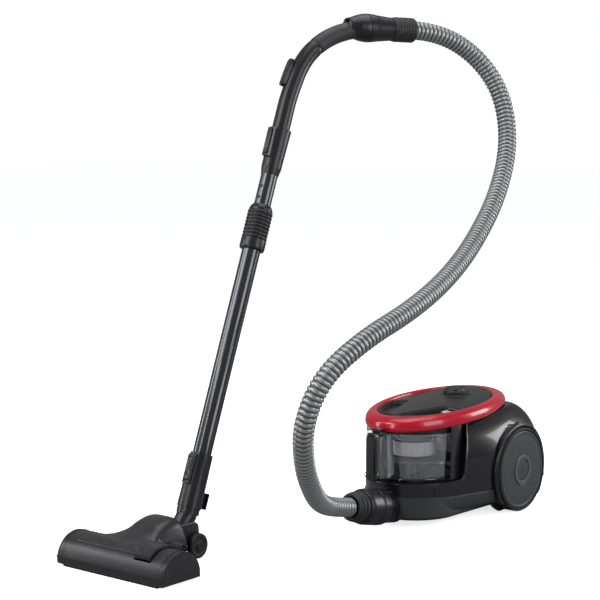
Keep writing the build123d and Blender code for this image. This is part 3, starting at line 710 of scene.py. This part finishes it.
def onRing(points):
    p = np.asarray(points, float)
    return ringMiddle + p[..., 0:1] * ringOut + p[..., 1:2] * ringLong + p[..., 2:3] * ringUp


ringSettings = {"middle": (102.0, 170.0), "steps": 220, "sides": 48, "skirt": 6.5,
                "rearReach": 1.0, "frontReach": 0.6,
                "section": [(-9.9, 0), (-9.9, 7.5), (-6.5, 10.6), (1.5, 9.6), (8.2, 3.5), (10.6, -5),
                            (10.0, -10.5), (5.0, -11.5), (-6.0, -10.5), (-9.9, -7), (-9.9, 0)]}


def makeTrimRing():
    # a section that slopes down outwards, carried round an oval; its skirt hangs lower towards the front
    s = ringSettings
    a = np.linspace(0, 2 * np.pi, s["steps"], endpoint=False)[:, None]
    section = smoothLine(s["section"], s["sides"])
    across, upward = section[None, :, 0], section[None, :, 1]
    front = np.clip((0.35 - np.sin(a)) / 1.35, 0, 1) ** 0.6
    across = across * (1 + s["rearReach"] * np.clip(np.sin(a), 0, 1) ** 3
                       + s["frontReach"] * np.clip(-np.sin(a), 0, 1) ** 3)
    upward = np.where(upward < 0, upward * (1 + s["skirt"] / 11.5 * front), upward)
    centre = np.stack([s["middle"][0] * np.cos(a), s["middle"][1] * np.sin(a), 0 * a], -1)
    outward = np.stack([np.cos(a) / s["middle"][0], np.sin(a) / s["middle"][1], 0 * a], -1)
    outward = outward / np.linalg.norm(outward, axis=-1, keepdims=True)
    points = centre + across[..., None] * outward + upward[..., None] * np.array([0, 0, 1.0])
    ring = makePiece("red_ring", onRing(points), gridFaces(s["steps"], s["sides"], True), "ringRed",
                     "canister", ["trim_ring"])
    closeUp(ring)


makeTrimRing()

knobSettings = {"at": (0, 72, 12.3), "flange": 24.6, "grip": 20.6, "facets": 16, "height": 12.6}


def makeKnob():
    # a flange under a faceted grip; the facets fade in above the flange
    s = knobSettings

    def facets(angle, along, radius):
        wave = np.abs(np.cos(s["facets"] * angle / 2)) ** 0.6
        share = np.clip((along - 4.5) / 2, 0, 1) * (radius > 8)
        return radius - 0.5 * share * (1 - wave)

    profile = softCorners([(0, 0), (0, s["flange"]), (5.6, s["flange"]), (6.4, s["grip"] + 1),
                           (11.4, s["grip"] - 0.4), (s["height"], s["grip"] - 2.4),
                           (s["height"] - 1.0, s["grip"] - 6),
                           (s["height"] - 1.2, 0)], 1.0)
    stem = np.array([(-10.0, 0.0), (-10.0, 5.9), (0.0, 5.9)])
    turnedPiece("suction_knob", onRing(np.array(s["at"], float)), ringUp, np.vstack([stem, profile[1:]]),
                "knobBlack", "knob", ["power_knob"], 144, facets)


makeKnob()
print("ring and knob ready")

# ---- rear wheels ----
wheelSettings = {
    "disc": [(138.5, 0), (138.5, 8.1), (114.5, 8.1), (114.5, 30), (118, 34), (118, 72), (115, 79.6),
             (139.2, 79.6), (140.9, 77.5), (140.9, 73.6), (139.9, 72.6), (140.4, 60), (140.6, 32.4),
             (140.0, 31.8), (140.0, 21.6), (141.4, 21.0), (141.6, 2.0), (139.6, 1.6), (139.6, 0)],
    "hub": [(139.0, 21.8), (139.0, 31.6), (142.2, 31.0), (142.6, 29.5), (142.6, 23.5), (142.2, 22.2),
            (139.0, 21.8)],
    "tread": [(128, 80), (115.5, 80), (115.2, 83.5), (117.5, 85), (121.4, 85), (122.2, 84.1), (123, 85),
             (133.5, 85), (134.3, 84.1), (135.1, 85), (139, 85), (141.8, 83), (141.8, 80.8), (140.2, 80),
             (128, 80)],
}


def makeWheels():
    s = wheelSettings
    for hand, name in ((1, "left"), (-1, "right")):
        for part, finish, slot, stands in (("disc", "wheelGrey", "dark_grey", ["wheel"]),
                                           ("hub", "hubGrey", "dark_grey", []),
                                           ("tread", "tyreBlack", "tyre", ["tyre"])):
            turnedPiece(f"{name}_{part}", (0, 0, shellSettings["axleZ"]), (hand, 0, 0),
                        softCorners(s[part], 0.7), finish, f"{name}_wheel",
                        [f"{name}_{node}" for node in stands], 128)


makeWheels()
print("rear wheels ready")

# ---- dust bin ----
binSettings = {"middle": (0, -185.0), "foot": 88.2, "top": 93.0, "wall": 2.4, "louvres": 60}


def makeBin():
    s = binSettings
    centre = (*s["middle"], 0)
    # a clear cup: outside with a foot bead and a rim band, then back down the inside
    outer = [(89, 0), (89, s["foot"] - 3), (91, s["foot"]), (94, s["foot"] + 0.3), (95, s["foot"] - 0.2),
             (174, s["top"] - 0.7), (175, s["top"]), (183, s["top"]), (183, s["top"] - s["wall"]),
             (174, s["top"] - s["wall"] - 0.6), (96, s["foot"] - s["wall"]), (92, s["foot"] - 6), (92, 0)]
    turnedPiece("bin_cup", centre, (0, 0, 1), softCorners(outer, 1.2), "smokedClear", "dust_bin",
                ["bin_shell"], 160)

    # the separator: a louvred drum on a waisted column, standing on a thin tray that divides the bin
    def louvres(angle, along, radius):
        drum = (along > 133) & (along < 158) & (radius > 40)
        return radius - 2.2 * drum * (np.sin(s["louvres"] * angle) > 0)

    turnedPiece("separator_drum", centre, (0, 0, 1),
                np.array([(132, 43.6), (132, 46), (133.5, 46), (134, 45.6), (157, 45.6), (157.5, 46),
                          (159, 46), (159, 43.6), (132, 43.6)]),
                "innerGrey", "dust_bin", ["mesh_grille"], 480, louvres)
    column = [(92.1, 0), (92.1, 15), (96, 12), (121, 11.5), (124, 14), (124, 83), (126, 83), (126, 14),
              (129, 12), (136, 17), (152, 34), (160, 40), (175.8, 40), (175.8, 36), (160, 36), (150, 25),
              (140, 0)]
    turnedPiece("separator_column", centre, (0, 0, 1), softCorners(column, 1.5), "columnBlack", "dust_bin",
                ["cyclone_cone"], 96)


def makeBayWall():
    # the wall behind the bin: an upright arc in three pieces, the middle one pale grey, painted light that
    # stands in for the brightness seen through the clear bin
    radius, middleY = shellSettings["bayRadius"], shellSettings["bayY"]
    for name, low, high, finish in (("right", -6, 55, "panelBlack"), ("middle", 55, 125, "bayPaintedLight"),
                                    ("left", 125, 186, "panelBlack")):
        z, angle = np.linspace(88.9, 199, 30)[:, None], np.radians(np.linspace(low, high, 60))[None, :]
        wall = np.stack(np.broadcast_arrays(radius * np.cos(angle), middleY + radius * np.sin(angle), z), -1)
        bay = closeUp(makePiece(f"bay_wall_{name}", wall, gridFaces(30, 60)[:, ::-1], finish, "canister"))
        addWall(bay, 0.0014, 0)


makeBin()
makeBayWall()
print("dust bin ready")

# ---- wand fittings and hose fittings ----
ribFamily = {
    "tube_collar": {"origin": onWand(0), "axis": wandDir, "finish": "fittingGrey", "body": "collar",
                    "slot": "satin_black", "bore": 17.65,
                    "outside": [[(-240, 21.0), (-239.4, 23.0), (-236, 23.9), (-220, 23.9)],
                                ribs(-219, -164, 8, 21.6, 24.0),
                                [(-162, 22.8), (-157, 21.0), (-153.5, 18.6), (-152, 17.7)]]},
    "connector_sleeve": {"origin": connectorEnd, "axis": -connectorDir, "finish": "softRubber",
                         "body": "hose_end", "slot": "rubber", "bore": 17.0,
                         "outside": [[(0.1, 20.5), (0.6, 22.6)], ribs(1.5, 44, 7, 21.6, 24.5),
                                     [(45, 23.2), (48.4, 23.2), (48.8, 21.0)]]},
    "cuff_bellows": {"origin": inletFrom, "axis": inletDir, "finish": "softRubber", "body": "cuff",
                     "slot": "rubber", "bore": 19.2,
                     "outside": [[(66.1, 30.2)], ribs(66.4, 75.4, 1, 26.5, 30.6),
                                 ribs(75.6, 84.6, 1, 25.4, 29.2), ribs(84.8, 91.5, 1, 24.2, 27.6),
                                 [(93.4, 24.4), (93.9, 23.0)]]},
    "hose_cuff": {"origin": inletFrom, "axis": inletDir, "finish": "fittingGrey", "body": "cuff",
                  "slot": "gloss_black", "bore": 19.2,
                  "outside": [softCorners([(3.0, 33.0), (3.0, 35.6), (5.0, 36.4), (24.5, 36.4), (26.0, 34.6),
                                           (29.0, 34.6), (30.5, 36.0), (56, 34.6), (63.0, 32.4), (65.9, 29.6),
                                           (65.9, 26)], 1.4)]},
}


def makeRibbedFittings():
    for name, s in ribFamily.items():
        outside = np.vstack([np.asarray(run, float) for run in s["outside"]])
        bore = np.array([(outside[0, 0], s["bore"])]), np.array([(outside[-1, 0], s["bore"])])
        profile = np.vstack([bore[0], outside, bore[1], bore[0]])
        turnedPiece(f"ribbed_{name}", s["origin"], s["axis"], profile, s["finish"], s["body"],
                    [name], 96)


makeRibbedFittings()
print("fittings ready")

# ---- top panel with its two finger recesses ----
panelSettings = {"half": (91.7, 153.6), "rearHalf": 149.6, "crownTop": 12.0, "crownRadius": 560.0,
                 "recessDepth": 9.0, "recessFrom": 9.0, "recessSpread": 38.0, "recessY": (-150.0, -26.0),
                 "wallWidth": 3.5, "rings": 110, "steps": 300,
                 "knobY": 72.0, "seat": 31.0}


def panelHeight(x, y):
    # a crown across the panel, less a finger recess on each side, plus a low seat round the knob
    s = panelSettings
    z = s["crownTop"] - x ** 2 / (2 * s["crownRadius"])
    low, high = s["recessY"]
    middle, halfLength = (low + high) / 2, (high - low) / 2
    along = np.clip((y - middle) / halfLength, -1.2, 1.2)
    inner = s["recessFrom"] + s["recessSpread"] * (along + 1) / 2
    outer = (s["half"][0] - 3) * np.sqrt(np.clip(1 - (y / (s["half"][1] - 3)) ** 2, 0, 1))
    width = s["wallWidth"]
    mask = smoothStep(0, width, np.abs(x) - inner) * smoothStep(0, width, outer - np.abs(x))
    mask = mask * smoothStep(1.0, 1.0 - 2 * width / halfLength, np.abs(along))
    distance = np.hypot(x, y - s["knobY"])
    seat = smoothStep(s["seat"] + 5, s["seat"], distance) * 1.6 - smoothStep(27.5, 26.8, distance) * 1.8
    return z - s["recessDepth"] * mask + seat


def makeTopPanel():
    s = panelSettings
    reach = np.r_[0, np.linspace(0.01, 1, s["rings"])][:, None]
    a = np.linspace(0, 2 * np.pi, s["steps"], endpoint=False)[None, :]
    x = reach * s["half"][0] * np.cos(a)
    y = reach * np.where(np.sin(a) > 0, s["rearHalf"], s["half"][1]) * np.sin(a)
    top = np.stack([x, y, panelHeight(x, y)], -1)
    under = top[[-1, 0]].copy()
    under[..., 2] = -7.0
    points = onRing(np.concatenate([top, under]))
    faces = gridFaces(len(points), s["steps"], closeCols=True)
    closeUp(makePiece("tongue_panel", points, faces, "panelBlack", "canister",
                      ["top_panel", "recess_floor"]))
    # painted shade: a black sheet lies in each finger recess, darker than the panel
    v, t = np.linspace(-0.92, 0.92, 70)[:, None], np.linspace(0, 1, 24)[None, :]
    low, high = s["recessY"]
    along = (low + high) / 2 + v * (high - low) / 2
    inner = s["recessFrom"] + s["recessSpread"] * (v + 1) / 2 + 1.6
    outer = (s["half"][0] - 3) * np.sqrt(1 - (along / (s["half"][1] - 3)) ** 2) - 1.6
    for hand, name in ((1, "left"), (-1, "right")):
        across = inner + (np.maximum(outer, inner + 0.5) - inner) * t
        shadeSheet = onRing(np.stack([hand * across, along + 0 * t, panelHeight(across, along) + 0.18], -1))
        piece = makePiece(f"recess_shade_sheet_{name}", shadeSheet, gridFaces(70, 24), "recessShadeBlack", "canister")
        closeUp(piece, (0, 0, 1))
        addWall(piece, 0.0003, 1)
    # a blank silver strip on the left recess's floor, near its rear end
    u, v = np.linspace(48, 80, 30)[:, None], np.linspace(0, 1, 12)[None, :]
    px = u + 0 * v
    py = -60 + 0.2 * (80 - u) + 19 * v
    strip = onRing(np.stack([px, py, panelHeight(px, py) + 0.6], -1))
    label = makePiece("blank_label", strip, gridFaces(30, 12), "labelSilver", "canister",
                      ["label_plate"])
    closeUp(label, (0, 0, 1))
    addWall(label, 0.0004, 1)


makeTopPanel()
print("top panel ready")


# ---- soft-cornered blocks: buttons, slider, handle window ----
def signedPower(value, power):
    return np.sign(value) * np.abs(value) ** power


def softBlock(centre, axes, halves, round1=0.28, round2=0.28, rows=40, cols=64):
    # a superellipsoid: a sphere's two angles, with their sines and cosines raised to a power under one
    u = np.linspace(-np.pi / 2, np.pi / 2, rows)[:, None]
    v = np.linspace(-np.pi, np.pi, cols, endpoint=False)[None, :]
    local = np.stack(np.broadcast_arrays(
        halves[0] * signedPower(np.cos(u), round1) * signedPower(np.cos(v), round2),
        halves[1] * signedPower(np.cos(u), round1) * signedPower(np.sin(v), round2),
        halves[2] * signedPower(np.sin(u), round1)), -1)
    return local, np.asarray(centre, float), np.asarray(axes, float)


def placeBlock(block):
    local, centre, axes = block
    return centre + local @ axes


def blockPiece(name, block, finish, body, stands=()):
    points = placeBlock(block)
    return closeUp(makePiece(name, points, gridFaces(*points.shape[:2], closeCols=True), finish, body,
                             stands))


slideDir = unit(onGrip(150, 10) - onGrip(70, 0))
slideOut = unit(onGrip(120, -75) - onGrip(110, 5))
slideSide = np.cross(slideOut, slideDir)
acrossWand = np.array([1.0, 0, 0])


def makeButtons():
    # the suction slider: a ribbed pad that stands off the pipe
    block = softBlock(onGrip(110, 5) + slideOut * 20.3, (slideDir, slideSide, slideOut), (29, 8.5, 5.6),
                      0.35, 0.5, 60, 160)
    local = block[0]
    crest = smoothStep(2.0, 5.0, local[..., 2]) * (np.abs(local[..., 0]) < 21)
    local[..., 2] -= 0.9 * crest * (np.sin(local[..., 0] * 1.55) > 0.1)
    blockPiece("slider_pad", block, "fittingGrey", "slider", ["suction_slider"])
    # each catch button is a long pad with a dimple at its lower end
    for name, node, s, out, halves, body in (
            ("grip_catch_pad", "grip_button", -32, 27.0, (23.6, 5.3, 2.8), "grip_catch"),
            ("neck_catch_pad", "neck_button", -664, 24.8, (21.6, 5.8, 2.6), "neck_catch")):
        block = softBlock(onWand(s, out), (wandDir, acrossWand, -wandBack), halves, 0.35, 0.4, 48, 120)
        local = block[0]
        dimple = np.exp(-((local[..., 0] + halves[0] * 0.55) / 5.5) ** 2 - (local[..., 1] / 4.0) ** 2)
        seam = np.exp(-((local[..., 0] + halves[0] * 0.2) / 0.8) ** 2)
        local[..., 2] -= (1.4 * dimple + 0.6 * seam) * (local[..., 2] > 0)
        blockPiece(name, block, "nozzleGrey", body, [node])
    release = softBlock((0, -303.2, 192.6), np.eye(3), (10, 9.2, 4.4), 0.3, 0.3)
    blockPiece("bin_release_pad", release, "glossBlack", "bin_button", ["bin_release_button"])


def makeHandle():
    # the clear block is hollowed on its bin side to the bin's own curve
    block = softBlock((0, -289.5, 141.5), np.eye(3), (15, 23.4, 42.4), 0.22, 0.24, 80, 120)
    local = block[0]
    z = local[..., 2] + 141.5
    reach = 85.4 + 5.1 * np.clip((z - 89) / 94, 0, 1) + 0.5
    limit = -185 - np.sqrt(reach ** 2 - local[..., 0] ** 2) + 289.5
    local[..., 1] = np.minimum(local[..., 1], limit)
    blockPiece("handle_window", block, "handleClear", "dust_bin", ["bin_handle_window"])
    spine = softBlock((0, -320.7, 143.5), np.eye(3), (13, 7.4, 46.4), 0.25, 0.35, 80, 96)
    blockPiece("handle_spine", spine, "glossBlack", "dust_bin", ["bin_handle_spine"])
    for label, z in (("upper", 172.0), ("lower", 111.0)):
        lens = softBlock((14.4, -291, z), np.eye(3), (1.4, 9.0, 3.2), 1.0, 1.0, 24, 40)
        blockPiece(f"handle_lens_{label}", lens, "smokedClear", "dust_bin")


makeButtons()
makeHandle()
print("buttons and handle ready")

# ---- nozzle ----
saddleSettings = {"rows": 70, "cols": 80, "leftWide": 94.0, "rightWide": 50.0, "neckWide": 46.4,
                  "capSeams": (("right", -34.0), ("left", -276.0)),
                  "spine": [(-862, 46.9), (-852, 51.2), (-842, 54.2), (-830, 57.2), (-816, 62), (-795, 71.5),
                            (-772, 81.5), (-748, 85.5), (-731, 82), (-726.4, 62), (-726.4, 30)]}


def makeNozzle():
    # a saddle that swells out of the bar: its crest follows the spine, a wide bell curve across at the
    # front and a soft-cornered box section at the neck
    s = saddleSettings
    spine = smoothLine(s["spine"], s["rows"])
    y, crest = spine[:, 0][:, None], spine[:, 1][:, None]
    u = np.linspace(-1, 1, s["cols"])[None, :]
    neck = smoothStep(-838, -785, y)
    wide = np.where(u < 0, s["leftWide"], s["rightWide"]) * (1 - neck) + s["neckWide"] * neck
    bar = 17 + 39.3 * np.sqrt(np.clip(1 - ((y + 833) / 47.5) ** 2, 0, 1))
    foot = bar * (1 - smoothStep(-800, -786, y)) + 28 * smoothStep(-800, -786, y) - 1.6
    bell = np.cos(np.pi * u / 2) ** 2
    boxy = np.clip(1 - np.abs(u) ** 4.5, 0, 1) ** 0.55
    z = foot + (crest - foot) * (bell * (1 - neck) + boxy * neck)
    seam = np.exp(-((y + 800) / 0.9) ** 2) + np.exp(-((y + 762) / 0.9) ** 2)
    z = z - 0.8 * seam * (boxy > 0.25)
    points = np.stack(np.broadcast_arrays(-155 + u * wide, y, z), -1)
    saddle = makePiece("neck_saddle", points, gridFaces(s["rows"], s["cols"]), "nozzleGrey", "nozzle",
                       ["neck_cover"])
    closeUp(saddle, (0, 0, 1))
    addWall(saddle, 0.0012, -1)
    # dark seams: one round the bar where the cover meets the sole, one at the inner edge of each end cap
    corners = [(-284.2, -881), (-25.8, -881), (-25.8, -785), (-284.2, -785)]
    bar = [(x, y, 17.0) for x, y in corners]
    runs = [("sole_seam_front", np.linspace(bar[0], bar[1], 60)),
            ("sole_seam_side", np.linspace(bar[1], bar[2], 30)),
            ("sole_seam_far", np.linspace(bar[3], bar[0], 30))]
    theta = np.linspace(0, np.pi, 80)
    for name, x in s["capSeams"]:
        arc = np.stack([x + 0 * theta, -833 - 47.6 * np.cos(theta), 17 + 39.4 * np.sin(theta)], 1)
        runs.append((f"cap_seam_{name}", arc))
    for name, run in runs:
        thick = np.full(len(run), 0.55)
        seamTube = carried(run, np.gradient(run, axis=0), thick, 8, np.array([0.3, 0.4, 0.86]))
        faces = gridFaces(len(run), 8, closeCols=True)
        closeUp(makePiece(name, seamTube, faces, "seamBlack", "nozzle"))
    # the ears that hold the elbow, their pivot pin, the wheels' axle and the pedal's pin
    ears = [placeBlock(softBlock((-155 + side * 22, -703, 40), np.eye(3), (3.5, 31, 25.5), 0.5, 0.35, 30, 60))
            for side in (-1, 1)]
    faces = gridFaces(30, 60, closeCols=True)
    closeUp(makePiece("truck_ears", np.concatenate([e.reshape(-1, 3) for e in ears]),
                      np.vstack([faces, faces + 1800]), "nozzleGrey", "nozzle"))
    for name, at, low, high, radius in (("pivot_pin", (-703, 46), -26.2, 26.2, 6.0),
                                        ("wheel_axle", (-687, 23), -40.6, 40.6, 3.0),
                                        ("pedal_pin", (-769, 46), 20.0, 84.0, 2.5)):
        pin = softCorners([(low, 0), (low, radius), (high, radius), (high, 0)], 0.8)
        turnedPiece(name, (-155, *at), (1, 0, 0), pin, "satinBlack", "nozzle", (), 32)
    # two rear wheels with a stepped rim and a hub dimple
    profile = softCorners([(27, 3.1), (27, 20), (28.5, 23), (37.5, 23), (39.2, 21.5), (39.2, 16.5),
                           (38.2, 15.5), (38.2, 9), (39.4, 8), (41, 7), (41, 3.1)], 0.8)
    profile = np.vstack([profile, profile[:1]])
    wheels = [turned((-155, -687, 23), (hand, 0, 0), profile, 64) for hand in (1, -1)]
    faces = gridFaces(len(profile), 64, closeCols=True)
    faces = np.vstack([faces, faces + len(profile) * 64])
    closeUp(makePiece("truck_wheels", np.concatenate([w.reshape(-1, 3) for w in wheels]), faces,
                      "satinBlack", "nozzle_roll", ["nozzle_wheels"]))


makeNozzle()
print("nozzle ready")

# ---- grip pipe ----
gripSettings = {"route": [(-30, 0), (30, 0), (70, 0), (150, 10), (211, 50), (252, 112), (268, 162.7),
                          (284, 213.5)],
                "radius": 17.0, "sides": 48, "rows": 240}


def makeGripPipe():
    # a tube on a smooth line; past the seam its skin is the soft insert's, slightly proud
    s = gripSettings
    controls = np.array([onGrip(a, b) for a, b in s["route"]])
    fine = smoothLine(controls, 600)
    line, directions, length = evenly(fine, s["rows"])
    share = np.linspace(0, 1, s["rows"])
    for name, node, low, high, finish, slot, proud in (
            ("grip_tube", "grip_pipe", 0.0, 0.505, "fittingGrey", "satin_black", 0.0),
            ("grip_insert", "grip_bend", 0.500, 1.0, "softRubber", "satin_black", 0.35)):
        part = (share >= low) & (share <= high)
        count = part.sum()
        radius = s["radius"] + proud - 0.8 * smoothStep(3, 0, np.arange(count)) \
            - 0.8 * smoothStep(3, 0, np.arange(count)[::-1])
        points = carried(line[part], directions[part], radius, s["sides"], np.cross(wandDir, gripSide))
        faces = gridFaces(count, s["sides"], closeCols=True).tolist()
        faces.append(list(range(s["sides"])))
        faces.append(list(range((count - 1) * s["sides"], count * s["sides"])))
        closeUp(makePiece(name, points, faces, finish, "grip", [node]))
    bell = softCorners([(-148, 17.2), (-138, 20.0), (-124, 25.0), (-112, 27.4), (-104.6, 28.0),
                        (-104.2, 26.0), (-104.2, 14.4), (-140, 14.4), (-148, 17.2)], 2.0)
    turnedPiece("connector_bell", connectorEnd, connectorDir, bell, "fittingGrey", "grip")
    body = softCorners([(-103.6, 17.2), (-103.6, 27.0), (-102.6, 28.0), (-90, 27.0), (-84, 25.8), (-60, 23.4),
                        (-50.4, 22.4), (-49.2, 21.2), (-49.2, 16.2), (-73, 17.2), (-103.6, 17.2)], 1.2)
    turnedPiece("connector_body", connectorEnd, connectorDir, body, "fittingGrey", "hose_end",
                ["hose_connector"])


makeGripPipe()
print("grip ready")


# ---- seam bead round the tray ----
def makeTrayBead():
    angle = np.linspace(math.radians(-196), math.radians(16), 160)
    radius, middleY, level = 97.0, shellSettings["bayY"], 85.6
    lineBead = np.stack([radius * np.cos(angle), middleY + radius * np.sin(angle), level + 0 * angle], 1)
    bead = carried(lineBead, np.gradient(lineBead, axis=0), np.full(160, 0.9), 12, np.array([0, 0, 1.0]))
    closeUp(makePiece("tray_bead", bead, gridFaces(160, 12, closeCols=True), "casingBlack", "canister"))


makeTrayBead()

# ---- floor ----
def makeFloor():
    # a wide pale sheet, level all over
    across, away = np.linspace(-30, 30, 7)[:, None], np.linspace(-30, 30, 7)[None, :]
    grid = np.stack(np.broadcast_arrays(across, away, 0.0 * across), -1)
    mesh = bpy.data.meshes.new("floor")
    mesh.from_pydata(grid.reshape(-1, 3).tolist(), [], gridFaces(7, 7).tolist())
    material = bpy.data.materials.new("paleFloor")
    material.use_nodes = True
    tree = material.node_tree
    shader = tree.nodes["Principled BSDF"]
    # bright where it is looked at, darker as a reflector, so that the black plastics stay black
    rays = tree.nodes.new("ShaderNodeLightPath").outputs
    seen = mathNode(tree, "MAXIMUM", rays["Is Camera Ray"], rays["Is Transmission Ray"])
    pale = mixColor(tree, noiseNode(tree, 1.5), (0.86, 0.86, 0.87, 1), (0.90, 0.90, 0.90, 1))
    tree.links.new(mixColor(tree, seen, (0.25, 0.25, 0.26, 1), pale), shader.inputs["Base Color"])
    shader.inputs["Emission Color"].default_value = (1, 1, 1, 1)
    tree.links.new(mathNode(tree, "MULTIPLY", seen, 0.74), shader.inputs["Emission Strength"])
    shader.inputs["Roughness"].default_value = 0.9
    shader.inputs["Specular IOR Level"].default_value = 0.1
    mesh.materials.append(material)
    floor = bpy.data.objects.new("floor", mesh)
    bpy.context.scene.collection.objects.link(floor)


makeFloor()


print("scene ready")
